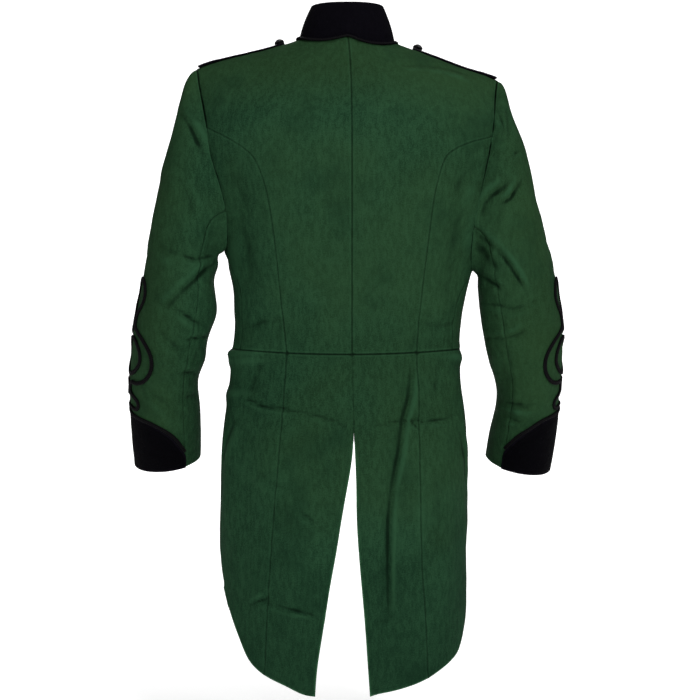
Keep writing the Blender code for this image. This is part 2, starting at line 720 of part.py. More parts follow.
def bodice(side, sign, name, armhole, lines, green, part):
    """Back, side back and front of one side, with the stitches that they share."""
    joint = armhole[ARMHOLE_BACK_STEPS]
    foot = armhole[ARMHOLE_BACK_STEPS + SIDE_BACK_COLUMNS]
    princess = princess_stitches(side, sign, joint)
    shoulder = []
    for t in spread(0.0, 1.0, SHOULDER_ROWS):
        height = armhole[0].height + (lines["neck_side"][side].height - armhole[0].height) * t
        shoulder.append(stitch(sign * pi / 2, height))
    shoulder[0] = armhole[0]
    shoulder[-1] = lines["neck_side"][side]

    waist_back = []
    start = lines["centre_back"][0].angle
    for angle in spread(start, princess[0].angle, BACK_COLUMNS):
        waist_back.append(stitch(angle, waist_height(angle)))
    waist_back[0] = lines["centre_back"][0]
    princess[0] = waist_back[-1]
    outer = princess + armhole[ARMHOLE_BACK_STEPS - 1::-1] + shoulder[1:]
    neck_back = lines["neck_back"][side]
    back = fill(waist_back, neck_back, lines["centre_back"], outer, BACK_ROUNDS)
    cloth("back_" + name, pairs(back), green, part)

    side_angle = sign * radians(SIDE_SEAM.at(WAIST_HEIGHT)[side])
    waist_side = [princess[0]]
    for angle in spread(princess[0].angle, side_angle, SIDE_BACK_COLUMNS)[1:]:
        waist_side.append(stitch(angle, waist_height(angle)))
    side_line = [waist_side[-1]]
    for height in spread(waist_side[-1].height, foot.height, SEAM_ROWS)[1:-1]:
        turn = sign * radians(SIDE_SEAM.at(height)[side])
        rise = (height - waist_side[-1].height) / (foot.height - waist_side[-1].height)
        side_line.append(stitch(turn + (foot.angle - turn) * rise ** SIDE_SEAM_SWING, height))
    side_line.append(foot)
    top = armhole[ARMHOLE_BACK_STEPS:ARMHOLE_BACK_STEPS + SIDE_BACK_COLUMNS + 1]
    side_back = fill(waist_side, top, princess, side_line, BACK_ROUNDS)
    cloth("side_back_" + name, pairs(side_back), green, part)

    front_armhole = armhole[ARMHOLE_BACK_STEPS + SIDE_BACK_COLUMNS:]
    outer = side_line[:-1] + front_armhole[:-1] + shoulder
    front = front_panel(side, sign, lines, outer, side_line)
    cloth("front_" + name, pairs(front), green, part)
    return waist_back, waist_side, front[0]


def at_front(x, height, inset=0.0):
    """Stitch on the front face at this sideways distance."""
    row = BODY.at(height)
    half = row.left if x >= 0.0 else row.right
    angle = (pi if x >= 0.0 else -pi) - asin(x / half)
    return stitch(angle, height, inset)


def front_shares():
    """Columns of a front, from its placket line to its side, closer together at the side."""
    return [1.0 - (1.0 - t) ** SIDE_CROWDING for t in spread(0.0, 1.0, FRONT_COLUMNS - 1)]


def front_panel(side, sign, lines, outer, side_line):
    """Front from its lapped edge round to the side seam; the right one lies under the left."""
    neck = lines["neck_front"][side]
    last = len(outer) - 1
    heights = spread(waist_height(pi), FRONT_MIDDLE_HEIGHT, SEAM_ROWS)
    heights += spread(FRONT_MIDDLE_HEIGHT, FRONT_UPPER_HEIGHT, ARMHOLE_FRONT_STEPS)[1:]
    heights += spread(FRONT_UPPER_HEIGHT, neck[0].height - LAP_TOP_ROW, SHOULDER_ROWS - 1)[1:]
    heights.append(neck[0].height)
    step = 0.0 if side == LEFT else LAP_STEP
    edge = []
    placket = []
    for index, height in enumerate(heights[:-1]):
        past = COLLAR_OPENING if index == last - 1 else -FRONT_LAP
        edge.append(at_front(sign * past, height, step))
        placket.append(at_front(sign * PLACKET_WIDTH, height, step))
    edge.append(neck[0])
    placket.append(neck[1])
    waist = [placket[0]]
    start, end = placket[0].angle, side_line[0].angle
    for share in front_shares()[1:-1]:
        angle = start + (end - start) * share
        waist.append(stitch(angle, waist_height(angle)))
    waist.append(side_line[0])
    grid = fill(waist, neck[1:], placket, outer, FRONT_ROUNDS, front_shares())
    return [[first] + line for first, line in zip(edge, grid)]


def tails(side, sign, name, waist_back, waist_side, front_waist, green, part):
    """The two skirt panels of one side, from the waist seam to the cut-away hem."""
    hem_angle = angle_at(VENT.at(-0.9705)[side], -0.9705)
    low = HEM.at(0.0)[LEFT]
    edge = []
    for height in spread(waist_back[0].height, low, TAIL_ROWS):
        edge.append(stitch(angle_at(VENT.at(height)[side], height), height))
    edge[0] = waist_back[0]

    def hem_stitch(angle):
        height = HEM.at(degrees(abs(angle)))[side]
        return stitch(angle, height)

    seam_foot = -0.945
    for _ in range(4):
        foot_angle = angle_at(sign * TAIL_LINE.at(seam_foot)[side], seam_foot)
        seam_foot = HEM.at(degrees(abs(foot_angle)))[side]
    seam = []
    for height in spread(waist_back[-1].height, seam_foot, TAIL_ROWS):
        seam.append(stitch(angle_at(sign * TAIL_LINE.at(height)[side], height), height))
    seam[0] = waist_back[-1]
    hem_back = [hem_stitch(angle) for angle in spread(hem_angle, seam[-1].angle, BACK_COLUMNS)]
    hem_back[0] = edge[-1]
    hem_back[-1] = seam[-1]
    grid = fill(waist_back, hem_back, edge, seam, TAIL_ROUNDS)
    cloth("tail_back_" + name, pairs(grid), green, part)

    skirt_top = waist_side + front_waist[-2:-2 - SKIRT_FRONT_COLUMNS:-1]
    columns = len(skirt_top) - 1
    corner = sign * radians(SKIRT_CORNER_ANGLE[side])
    hem_side = [hem_stitch(angle) for angle in spread(seam[-1].angle, corner, columns)]
    hem_side[0] = seam[-1]
    front_edge = []
    for angle in spread(skirt_top[-1].angle, corner, TAIL_ROWS):
        share = (abs(angle) - abs(corner)) / (abs(skirt_top[-1].angle) - abs(corner))
        turn = 69.5 + (160.0 - 69.5) * share
        front_edge.append(stitch(angle, SKIRT_FRONT.at(turn)[side]))
    front_edge[0] = skirt_top[-1]
    front_edge[-1] = hem_side[-1]
    grid = fill(skirt_top, hem_side, seam, front_edge, TAIL_ROUNDS)
    cloth("tail_side_" + name, pairs(grid), green, part)


def sleeve(side, sign, name, turns, armhole, green, part):
    """Upper and under sleeve, from the armhole to the hem."""
    first = len(turns) - 1 - UPPER_SLEEVE_FRONT_STEPS
    last = UPPER_SLEEVE_BACK_STEPS
    upper = list(range(first, len(turns) - 1)) + list(range(0, last + 1))
    under = list(range(last, first + 1))
    rows = [share ** 1.12 for share in spread(0.0, 1.0, SLEEVE_ROWS)]
    for piece, steps in (("upper", upper), ("under", under)):
        grid = []
        for along in rows:
            line = []
            for step in steps:
                if along == 0.0:
                    seam = armhole[step % len(armhole)]
                    line.append((seam.outer, seam.inner))
                    continue
                outer = sleeve_surface(side, sign, turns[step], along)
                out = sleeve_normal(side, sign, turns[step], along)
                line.append((outer, outer - out * CLOTH))
            grid.append(line)
        cloth("sleeve_" + piece + "_" + name, grid, green, part)


def on_sleeve(side, sign, around, along, lift):
    out = sleeve_normal(side, sign, around, along)
    return sleeve_surface(side, sign, around, along) + out * lift, out


def cuff(side, sign, name, turns, black, cord, part):
    """Pointed cuff laid on the sleeve, and the cord along its top edge."""
    last = radians(CUFF_END)
    steps = [turn for turn in turns if turn < last]
    steps = [turn - 2 * pi for turn in turns[:-1] if turn > 2 * pi - last] + steps
    grid = []
    for share in spread(0.0, 1.0, CUFF_ROWS):
        line = []
        for turn in steps:
            top = CUFF.at(degrees(abs(turn)))[side]
            along = CUFF_FOOT + (top - CUFF_FOOT) * share
            place, out = on_sleeve(side, sign, turn, along, 0.0)
            line.append((place + out * (LIFT + CUFF_CLOTH), place + out * LIFT))
        grid.append(line)
    cloth("cuff_" + name, grid, black, part)
    path = []
    for turn in steps:
        before, here, after = (CUFF.at(degrees(abs(turn) + step))[side]
                               for step in (-CUFF_SLOPE_STEP, 0.0, CUFF_SLOPE_STEP))
        slope = (after - before) * SLEEVE_RUN / (2 * CUFF_SLOPE_STEP * SLEEVE_RADIUS)
        along = here - CUFF_CORD_DROP * hypot(1.0, slope)
        path.append(on_sleeve(side, sign, turn, along, LIFT + CUFF_CORD_WIDTH * 0.52))
    flat_cord("cuff_cord_" + name, path, CUFF_CORD_WIDTH, CUFF_CORD_WIDTH * 0.8, False, cord, part)


def smooth_path(points, steps):
    """A curve through hand-placed points, with a few points between each two."""
    path = []
    last = len(points) - 1
    for index in range(last):
        p0 = points[max(index - 1, 0)]
        p1, p2 = points[index], points[index + 1]
        p3 = points[min(index + 2, last)]
        for step in range(steps):
            t = step / steps
            path.append(tuple(
                0.5 * (2 * b + (c - a) * t + (2 * a - 5 * b + 4 * c - d) * t * t
                       + (3 * b - a - 3 * c + d) * t * t * t)
                for a, b, c, d in zip(p0, p1, p2, p3)
            ))
    path.append(tuple(points[-1]))
    return path


def along_at(side, height):
    """How far down the sleeve its outer line reaches this height."""
    low, high = 0.0, 1.0
    for _ in range(30):
        middle = (low + high) / 2
        if SLEEVE[side].at(middle).outer_z > height:
            low = middle
        else:
            high = middle
    return low


def knot_path(side, sign, half):
    """Path on the sleeve of a figure given by one half of it, which its mirror image completes."""
    whole = list(half) + [KnotPoint(point.height, -point.sideways) for point in reversed(half)]
    path = []
    for height, sideways in smooth_path(whole, 1):
        around = (sideways + KNOT_TURN[side]) / SLEEVE_RADIUS
        path.append(on_sleeve(side, sign, around, along_at(side, height), KNOT_LIFT + CORD_HEIGHT / 2))
    return path


def flat_cord(name, path, width, height, closed, material, part):
    """Cord of an oval section along a path of (middle, outward direction)."""
    bm = bmesh.new()
    count = len(path)
    rings = []
    for index, (middle, out) in enumerate(path):
        before = path[(index - 1) % count if closed else max(index - 1, 0)][0]
        after = path[(index + 1) % count if closed else min(index + 1, count - 1)][0]
        run = (after - before).normalized()
        side = run.cross(out).normalized()
        up = side.cross(run).normalized()
        turn = Matrix((side, up, run)).transposed().to_4x4()
        place = Matrix.Translation(middle) @ turn @ Matrix.Diagonal((width / 2, height / 2, 1.0, 1.0))
        ring = bmesh.ops.create_circle(bm, segments=CORD_SIDES, radius=1.0, matrix=place)["verts"]
        rings.append(ring)
    links = list(zip(rings, rings[1:]))
    if closed:
        links.append((rings[-1], rings[0]))
    for ring, following in links:
        for index in range(CORD_SIDES):
            beside = (index + 1) % CORD_SIDES
            bm.faces.new((ring[index], ring[beside], following[beside], following[index]))
    if not closed:
        bm.faces.new(list(reversed(rings[0])))
        bm.faces.new(rings[-1])
    bmesh.ops.recalc_face_normals(bm, faces=bm.faces)
    return finished(name, bm, material, part)


def sleeve_knot(side, sign, name, cord, part):
    """Cord figure on the outside of the sleeve: eyes, side loops and top loop, with a leaf inside."""
    path = knot_path(side, sign, KNOT_HALF)
    flat_cord("sleeve_knot_" + name, path, CORD_WIDTH, CORD_HEIGHT, False, cord, part)
    path = knot_path(side, sign, LEAF_HALF)
    flat_cord("sleeve_leaf_" + name, path, CORD_WIDTH, CORD_HEIGHT, True, cord, part)


def collar_turns():
    """Turns round the neck seam, from one front end over the back to the other."""
    half = spread(0.0, pi / 2, BACK_COLUMNS)
    placket = pi - asin(PLACKET_WIDTH / NECK_HALF_WIDTH[LEFT])
    for share in reversed(front_shares()[:-1]):
        half.append(placket + (pi / 2 - placket) * share)
    half.append(pi - asin(COLLAR_OPENING / NECK_HALF_WIDTH[LEFT]))
    return [-turn for turn in reversed(half[1:])] + half


def collar(black, cord, part):
    """Standing collar and the cord along its foot."""
    turns = collar_turns()
    grid = []
    for share in (0.0, 0.35, 0.70, 1.0):
        line = []
        for turn in turns:
            seam = neck_stitch(turn)
            if share == 0.0:
                line.append((seam.outer, seam.inner))
                continue
            height = COLLAR_TOP.at(degrees(abs(turn))).height
            top = Vector((seam.outer.x * COLLAR_TOP_WIDTH, seam.outer.y * COLLAR_TOP_DEPTH, height))
            out = collar_out(turn)
            place = seam.outer.lerp(top, share) + out * 0.0025 * sin(pi * share)
            line.append((place, place - out * COLLAR_CLOTH))
        grid.append(line)
    cloth("collar", grid, black, part)
    path = []
    for turn in turns:
        seam = neck_stitch(turn)
        out = (body_normal(seam.angle, seam.height) + collar_out(turn)).normalized()
        path.append((seam.outer + out * (PIPING_RADIUS + 0.0010), out))
    flat_cord("collar_cord", path, PIPING_RADIUS * 2, PIPING_RADIUS * 2, False, cord, part)


def shoulder_place(side, sign, x, y):
    """Point on the shoulder above a place in plan, and the direction out of it."""
    low, high = -0.12, 0.012
    for _ in range(40):
        height = (low + high) / 2
        row = BODY.at(height)
        width = row.left if side == LEFT else row.right
        around = x / width
        depth = 0.0
        if around < 1.0:
            pinch = 1.0 - row.pinch * around ** PINCH_POWER
            depth = (row.back if y >= 0.0 else row.front) * sqrt(1.0 - around ** row.square) * pinch
        if around >= 1.0 or depth < abs(y):
            high = height
        else:
            low = height
    return Vector((sign * x, y, low))


def strap_end(side, sign, y):
    """Sideways distance at which the armhole seam passes this far behind the shoulder line."""
    low, high = (0.0, pi / 2) if y >= 0.0 else (-pi / 2, 0.0)
    for _ in range(30):
        middle = (low + high) / 2
        if body_form(*armhole_angle(side, sign, middle)).y < y:
            low = middle
        else:
            high = middle
    return abs(body_form(*armhole_angle(side, sign, low)).x) - STRAP_END_GAP


def shoulder_out(side, sign, x, y):
    """Direction straight out of the shoulder at a place on it."""
    step = 0.004
    run = shoulder_place(side, sign, x - step, y) - shoulder_place(side, sign, x + step, y)
    over = shoulder_place(side, sign, x, y + step) - shoulder_place(side, sign, x, y - step)
    out = run.cross(over).normalized()
    return out if out.z > 0.0 else -out


def shoulder_strap(side, sign, name, black, button, part):
    """Strap from the sleeve head to the neck, buttoned at the neck end."""
    grid = []
    head = STRAP_EDGE.at(0.0)
    for share in spread(0.0, 1.0, STRAP_ROWS):
        row = STRAP_EDGE.at(share)
        lift = STRAP_LIFT[0] + (STRAP_LIFT[1] - STRAP_LIFT[0]) * share
        line = []
        for across in spread(0.0, 1.0, STRAP_COLUMNS):
            y = row.front + (row.back - row.front) * across
            start = strap_end(side, sign, head.front + (head.back - head.front) * across)
            x = start + (STRAP_INNER_X[side] - start) * share
            place = shoulder_place(side, sign, x, y)
            out = shoulder_out(side, sign, x, y)
            line.append((place + out * (lift + STRAP_CLOTH), place + out * lift))
        grid.append(line)
    cloth("shoulder_strap_" + name, grid, black, part)
    x = STRAP_BUTTON_X[side]
    place = shoulder_place(side, sign, x, STRAP_BUTTON_Y)
    out = shoulder_out(side, sign, x, STRAP_BUTTON_Y)
    seat = place + out * (STRAP_LIFT[1] + STRAP_CLOTH + STRAP_BUTTON_GAP)
    dome("strap_button_" + name, seat, out, STRAP_BUTTON_RADIUS, STRAP_BUTTON_HEIGHT, button, part)


def dome(name, seat, out, radius, height, material, part):
    """Domed button, a turned profile standing on its seat."""
    profile = (
        (0.0, 0.0),
        (radius * 0.62, 0.0),
        (radius * 0.98, height * 0.30),
        (radius, height * 0.46),
        (radius * 0.80, height * 0.78),
        (radius * 0.42, height * 0.96),
        (0.0, height),
    )
    mesh = bpy.data.meshes.new(name)
    bm = bmesh.new()
    points = [bm.verts.new((r, 0.0, z)) for r, z in profile]
    for first, second in zip(points, points[1:]):
        bm.edges.new((first, second))
    bmesh.ops.spin(bm, geom=bm.verts[:] + bm.edges[:], cent=(0, 0, 0), axis=(0, 0, 1),
                   dvec=(0, 0, 0), angle=2 * pi, steps=BUTTON_STEPS, use_merge=True)
    bmesh.ops.remove_doubles(bm, verts=bm.verts, dist=1e-5)
    bmesh.ops.recalc_face_normals(bm, faces=bm.faces)
    bm.to_mesh(mesh)
    bm.free()
    mesh.materials.append(material)
    mesh.shade_smooth()
    piece = bpy.data.objects.new(name, mesh)
    piece.location = seat
    piece.rotation_mode = "QUATERNION"
    piece.rotation_quaternion = Vector((0, 0, 1)).rotation_difference(out)
    part.objects.link(piece)


def front_buttons(button, part):
    """Row of buttons down the centre front."""
    for index, height in enumerate(spread(FRONT_BUTTON_TOP, FRONT_BUTTON_BOTTOM, FRONT_BUTTONS - 1)):
        place, out = body_surface(pi, height)
        seat = place + out * 0.0006
        dome("front_button_%d" % (index + 1), seat, out, BUTTON_RADIUS, BUTTON_HEIGHT, button, part)


def material(name, colour, roughness):
    made = bpy.data.materials.new(name)
    made.use_nodes = True
    shader = made.node_tree.nodes["Principled BSDF"]
    shader.inputs["Base Color"].default_value = colour
    shader.inputs["Roughness"].default_value = roughness
    shader.inputs["Metallic"].default_value = 0.0
    return made


def neck_lines():
    """Stitches of the neck seam and the centre back, which both sides share."""
    lines = {"neck_back": [], "neck_front": [], "neck_side": []}
    turns = collar_turns()
    centre = len(turns) // 2
    whole = [neck_stitch(turn) for turn in turns]
    for _, sign, _ in SIDES:
        half = whole[centre:] if sign > 0 else whole[centre::-1]
        back, front = half[:BACK_COLUMNS + 1], half[BACK_COLUMNS:]
        lines["neck_back"].append(back)
        lines["neck_side"].append(back[-1])
        lines["neck_front"].append(front[::-1])
    top = lines["neck_back"][LEFT][0]
    rows = SEAM_ROWS + ARMHOLE_BACK_STEPS + SHOULDER_ROWS
    foot = waist_height(0.0)
    heights = spread(foot, CENTRE_BACK_HEIGHTS[0], SEAM_ROWS - PRINCESS_BEND_ROWS)
    heights += spread(CENTRE_BACK_HEIGHTS[0], CENTRE_BACK_HEIGHTS[1], PRINCESS_BEND_ROWS)[1:]
    heights += spread(CENTRE_BACK_HEIGHTS[1], CENTRE_BACK_HEIGHTS[2], ARMHOLE_BACK_STEPS)[1:]
    heights += spread(CENTRE_BACK_HEIGHTS[2], top.height, SHOULDER_ROWS)[1:]
    centre_back = []
    for index, height in enumerate(heights):
        centre_back.append(stitch(angle_at(CENTRE_BACK_X * (1.0 - (index / rows) ** 6), height), height))
    centre_back[-1] = top
    lines["centre_back"] = centre_back
    return lines


def main():
    for old in list(bpy.data.objects):
        bpy.data.objects.remove(old, do_unlink=True)
    part = bpy.data.collections.new("drummer_jacket")
    bpy.context.scene.collection.children.link(part)
    green = material("green_drill", GREEN_DRILL, 0.85)
    black = material("black_drill", BLACK_DRILL, 0.8)
    cord = material("black_cord", BLACK_CORD, 0.7)
    button = material("black_button", BLACK_BUTTON, 0.35)
    lines = neck_lines()
    for side, sign, name in SIDES:
        turns = ring_turns(side)
        armhole = [armhole_stitch(side, sign, turn) for turn in turns[:-1]]
        armhole.append(armhole[0])
        waist_back, waist_side, front_waist = bodice(side, sign, name, armhole, lines, green, part)
        tails(side, sign, name, waist_back, waist_side, front_waist, green, part)
        sleeve(side, sign, name, turns, armhole, green, part)
        cuff(side, sign, name, turns, black, cord, part)
        sleeve_knot(side, sign, name, cord, part)
        shoulder_strap(side, sign, name, black, button, part)
    collar(black, cord, part)
    front_buttons(button, part)


main()
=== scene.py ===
import bpy
import bmesh
import heapq
import math
import numpy as np
from mathutils import Matrix, Vector, noise
from mathutils.bvhtree import BVHTree
from mathutils.kdtree import KDTree


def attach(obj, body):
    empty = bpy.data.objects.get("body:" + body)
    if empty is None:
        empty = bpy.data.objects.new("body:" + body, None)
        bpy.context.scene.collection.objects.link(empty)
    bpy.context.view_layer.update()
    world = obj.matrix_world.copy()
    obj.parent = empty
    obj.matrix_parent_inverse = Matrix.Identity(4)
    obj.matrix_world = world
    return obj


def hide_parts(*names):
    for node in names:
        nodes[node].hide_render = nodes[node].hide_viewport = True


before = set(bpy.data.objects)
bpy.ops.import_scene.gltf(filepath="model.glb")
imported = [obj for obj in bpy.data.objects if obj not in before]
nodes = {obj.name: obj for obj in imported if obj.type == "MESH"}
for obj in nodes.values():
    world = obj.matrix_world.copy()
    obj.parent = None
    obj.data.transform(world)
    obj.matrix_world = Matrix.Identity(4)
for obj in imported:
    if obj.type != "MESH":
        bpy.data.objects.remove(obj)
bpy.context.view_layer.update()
scene = bpy.context.scene


class Socket:
    def __init__(self, tree, socket):
        self.tree = tree
        self.socket = socket

    def node(self, kind, settings=None, inputs=None, output=0):
        made = self.tree.nodes.new(kind)
        for name, value in (settings or {}).items():
            setattr(made, name, value)
        for key, value in (inputs or {}).items():
            if isinstance(value, Socket):
                self.tree.links.new(value.socket, made.inputs[key])
            else:
                made.inputs[key].default_value = value
        return Socket(self.tree, made.outputs[output])

    def maths(self, operation, *values):
        return self.node("ShaderNodeMath", {"operation": operation}, dict(enumerate(values)))

    def __add__(self, other):
        return self.maths("ADD", self, other)

    __radd__ = __add__

    def __mul__(self, other):
        return self.maths("MULTIPLY", self, other)

    def __sub__(self, other):
        return self.maths("SUBTRACT", self, other)

    def output(self, index):
        return Socket(self.tree, self.socket.node.outputs[index])

    def sine(self):
        return self.maths("SINE", self)

    def size(self):
        return self.maths("ABSOLUTE", self)

    def smooth(self, low, high):
        return self.node("ShaderNodeMapRange", {"interpolation_type": "SMOOTHSTEP"},
                         {0: self, 1: low, 2: high, 3: 0.0, 4: 1.0})

    def blend(self, first, second):
        return self.node("ShaderNodeMix", {"data_type": "RGBA"}, {0: self, 6: first, 7: second}, 2)


def newMaterial(name, roughness, specular=0.5):
    made = bpy.data.materials.new(name)
    made.use_nodes = True
    shader = made.node_tree.nodes["Principled BSDF"]
    shader.inputs["Roughness"].default_value = roughness
    shader.inputs["Specular IOR Level"].default_value = specular
    start = Socket(made.node_tree, None)
    return made, shader, start


def join(socket, shader, name):
    socket.tree.links.new(socket.socket, shader.inputs[name])


# the last row of each dye: from which height to which, and how much, painted shade darkens the cloth toward
# the bottom
dyes = {
    "green": {
        "base": (0.0120, 0.0430, 0.0190, 1.0),
        "pale": (0.0245, 0.0800, 0.0365, 1.0),
        "deep": (0.0030, 0.0165, 0.0078, 1.0),
        "warm": (0.0195, 0.0430, 0.0120, 1.0),
        "thread": (0.0070, 0.0290, 0.0130, 1.0),
        "shade": (-0.62, -0.90, 0.30),
    },
    "black": {
        "base": (0.0014, 0.0010, 0.0026, 1.0),
        "pale": (0.0032, 0.0026, 0.0048, 1.0),
        "deep": (0.0005, 0.0004, 0.0010, 1.0),
        "warm": (0.0014, 0.0010, 0.0026, 1.0),
        "thread": (0.0032, 0.0026, 0.0048, 1.0),
        "shade": (-0.30, -0.55, 0.95),
    },
}
drill = {
    "roughness": 0.90,
    "specular": 0.04,
    "baseShare": 0.12,
    "rubbedGain": 1.7,  # a rubbed edge's colour against the pale one
    "shadowGain": 0.30,
    "threadShare": 0.7,
    "twillPitch": 0.00085,  # metres between two wales of the twill
    "twillSlant": (0.80, 0.60),
    "twillWaver": 2.2,
    "streakRise": 0.35,  # the smaller, the longer the yarns' streaks
    "stitchPitch": 0.0034,
    "stitchLine": 0.0062,  # from a free edge to its row of stitches
    "seamHighlightLine": 0.0026,
    "bump": 0.8,
}
# scale, detail and roughness of each noise
noises = {
    "waver": (260.0, 2.0, 0.55),
    "fleck": (520.0, 4.0, 0.70),
    "cloud": (6.0, 5.0, 0.55),
    "slub": (190.0, 4.0, 0.65),
    "crumple": (34.0, 3.0, 0.55),
    "warm": (3.2, 3.0, 0.55),
    "damp": (11.0, 4.0, 0.60),
    "ripple": (95.0, 2.0, 0.55),
}
# each mark on the cloth: where it begins, where it is whole, and how strong it is there
marks = {
    "cloud": (0.36, 0.64, 0.24),
    "slub": (0.36, 0.64, 0.36),
    "fleck": (0.40, 0.60, 0.40),
    "warm": (0.46, 0.70, 0.30),
    "warmShoulder": (-0.13, -0.04, 0.45),
    "warmArm": (0.20, 0.30, 0.40),
    "damp": (0.50, 0.68, 0.34),
    "wale": (-1.0, 0.6, 0.14),
    "rubbedEdge": (0.0026, 0.0006, 0.75),
    "rubbedSlub": (0.28, 0.55, 1.0),
    # painted highlight on the crests of folds
    "crest": (0.05, 0.9, 0.65),
    # painted highlight on a thin line beside each seam
    "seamHighlight": (0.0013, 0.0003, 0.35),
    # painted shade in the seams and in the bottoms of creases
    "seamShadow": (0.0017, 0.0004, 0.85),
    "creaseShade": (0.02, 1.0, 0.80),
    "dash": (-0.35, 0.10, 1.0),
    "stitch": (0.00065, 0.00025, 1.0),
    "stitchChannel": (0.0014, 0.0004, 0.00025),
    "crumple": (0.0, 0.16, 0.0010),
}
# metres that each mark stands up
reliefs = {"wale": 0.00006, "fleck": 0.00010, "stitch": 0.00022, "ripple": 0.00045}
gloss = {"fleck": 0.06, "slub": 0.05}


def tinted(colour, gain):
    return tuple(part * gain for part in colour[:3]) + (1.0,)


def clothMaterial(name, dye):
    base, pale, deep, warm, thread, shade = dye.values()
    made, shader, start = newMaterial(name, drill["roughness"], specular=drill["specular"])
    cloth = start.node("ShaderNodeUVMap", {"uv_map": "cloth"})
    place = start.node("ShaderNodeTexCoord", output=3)
    across = start.node("ShaderNodeSeparateXYZ", inputs={0: cloth})
    sideways = start.node("ShaderNodeSeparateXYZ", inputs={0: place})
    height = sideways.output(2)

    def spots(noise, where):
        scale, detail, rough = noises[noise]
        return start.node("ShaderNodeTexNoise", {}, {"Vector": where, "Scale": scale, "Detail": detail,
                                                     "Roughness": rough})

    def given(attribute):
        return start.node("ShaderNodeAttribute", {"attribute_name": attribute}, output=2)

    def mark(kind, value):
        low, high, most = shade if kind == "shade" else marks[kind]
        return value.smooth(low, high) * most

    edge, run, free, seam, hollow = (given(name) for name in ("edge", "run", "free", "seam", "hollow"))
    # wales of the twill, rising to the right, with a slight waver
    aside, upward = drill["twillSlant"]
    wales = (across * aside + across.output(1) * upward) * (2 * math.pi / drill["twillPitch"])
    wale = (wales + spots("waver", cloth) * drill["twillWaver"]).sine()
    fleck = spots("fleck", cloth)
    # uneven yarns show as short streaks up and down the cloth
    stretch = (1.0, 1.0, drill["streakRise"])
    streaks = start.node("ShaderNodeMapping", {}, {"Vector": place, "Scale": stretch})
    slub = spots("slub", streaks)
    tone = mark("cloud", spots("cloud", place)) + mark("slub", slub) + mark("fleck", fleck)
    mixed = {0: drill["baseShare"], 6: tone.blend(deep, pale), 7: base}
    colour = start.node("ShaderNodeMix", {"data_type": "RGBA"}, mixed, 2)
    colour = mark("warm", spots("warm", place)).blend(colour, warm)
    # warmer where the light falls, on the shoulders and the outer arms
    colour = (mark("warmShoulder", height) + mark("warmArm", sideways.size())).blend(colour, warm)
    # painted shade, darker toward the bottom, and darker patches at random
    colour = (mark("shade", height) + mark("damp", spots("damp", place))).blend(colour, deep)
    colour = mark("wale", wale).blend(colour, pale)
    # paler where an edge is rubbed; painted highlight on the crests of folds and beside seams, painted
    # shade in seams and in the bottoms of creases
    rubbed = mark("rubbedEdge", edge) * free * mark("rubbedSlub", slub)
    colour = rubbed.blend(colour, tinted(pale, drill["rubbedGain"]))
    # painted highlight: paler on the crests of folds
    colour = mark("crest", hollow * -1.0).blend(colour, pale)
    # painted highlight on a thin line beside each seam
    colour = (mark("seamHighlight", (edge - drill["seamHighlightLine"]).size()) * seam).blend(colour, pale)
    # painted shade: darker in the seams and in the bottoms of creases
    paintedShade = mark("seamShadow", edge) * seam + mark("creaseShade", hollow)
    colour = paintedShade.blend(colour, tinted(deep, drill["shadowGain"]))
    # a row of stitches inside the free edges
    offset = (edge - drill["stitchLine"]).size()
    dash = mark("dash", (run * (2 * math.pi / drill["stitchPitch"])).sine())
    line = mark("stitch", offset) * free * dash
    colour = (line * drill["threadShare"]).blend(colour, thread)
    join(colour, shader, "Base Color")
    relief = wale * reliefs["wale"] + fleck * reliefs["fleck"] + line * reliefs["stitch"]
    relief = relief - mark("stitchChannel", offset) * free
    crumple = (spots("crumple", place) - 0.5).size()
    relief = relief + mark("crumple", crumple) + spots("ripple", place) * reliefs["ripple"]
    bump = start.node("ShaderNodeBump", {}, {"Strength": drill["bump"], "Distance": 1.0, "Height": relief})
    join(bump, shader, "Normal")
    join(drill["roughness"] + fleck * gloss["fleck"] - slub * gloss["slub"], shader, "Roughness")
    return made


greenCloth = clothMaterial("greenDrillCloth", dyes["green"])
blackCloth = clothMaterial("blackDrillCloth", dyes["black"])

# grain: scale and detail of its noise, where paleness begins and where it is whole
cordFinish = {
    "colour": (0.0010, 0.0009, 0.0014, 1.0),
    "pale": (0.0036, 0.0032, 0.0042, 1.0),
    "roughness": 0.62,
    "specular": 0.07,
    "grain": (1400.0, 2.0, 0.35, 0.75),
    "relief": (0.5, 0.0002),  # strength and height of its bumps
}
threadFinish = {
    "colour": dyes["green"]["thread"],
    "pale": dyes["green"]["pale"],
    "roughness": 0.7,
    "specular": 0.2,
    "grain": (1800.0, 2.0, 0.4, 0.7),
}
buttonFinish = {
    "colour": (0.0045, 0.0045, 0.0055, 1.0),
    "pale": (0.012, 0.012, 0.013, 1.0),
    "roughness": 0.30,
    "specular": 0.5,
    "grain": (420.0, 4.0, 0.45, 0.75),
    "scuffed": 0.18,  # roughness that the grain adds
}


def grainedMaterial(name, finish):
    made, shader, start = newMaterial(name, finish["roughness"], finish["specular"])
    place = start.node("ShaderNodeTexCoord", output=3)
    scale, detail, low, high = finish["grain"]
    grain = start.node("ShaderNodeTexNoise", {}, {"Vector": place, "Scale": scale, "Detail": detail})
    join(grain.smooth(low, high).blend(finish["colour"], finish["pale"]), shader, "Base Color")
    if "relief" in finish:
        strength, rise = finish["relief"]
        bumps = {"Strength": strength, "Distance": 1.0, "Height": grain * rise}
        join(start.node("ShaderNodeBump", {}, bumps), shader, "Normal")
    if "scuffed" in finish:
        join(finish["roughness"] + grain * finish["scuffed"], shader, "Roughness")
    return made


cordBlack = grainedMaterial("cordBlack", cordFinish)
threadGreen = grainedMaterial("threadGreen", threadFinish)
buttonBlack = grainedMaterial("buttonBlack", buttonFinish)
print("materials ready")

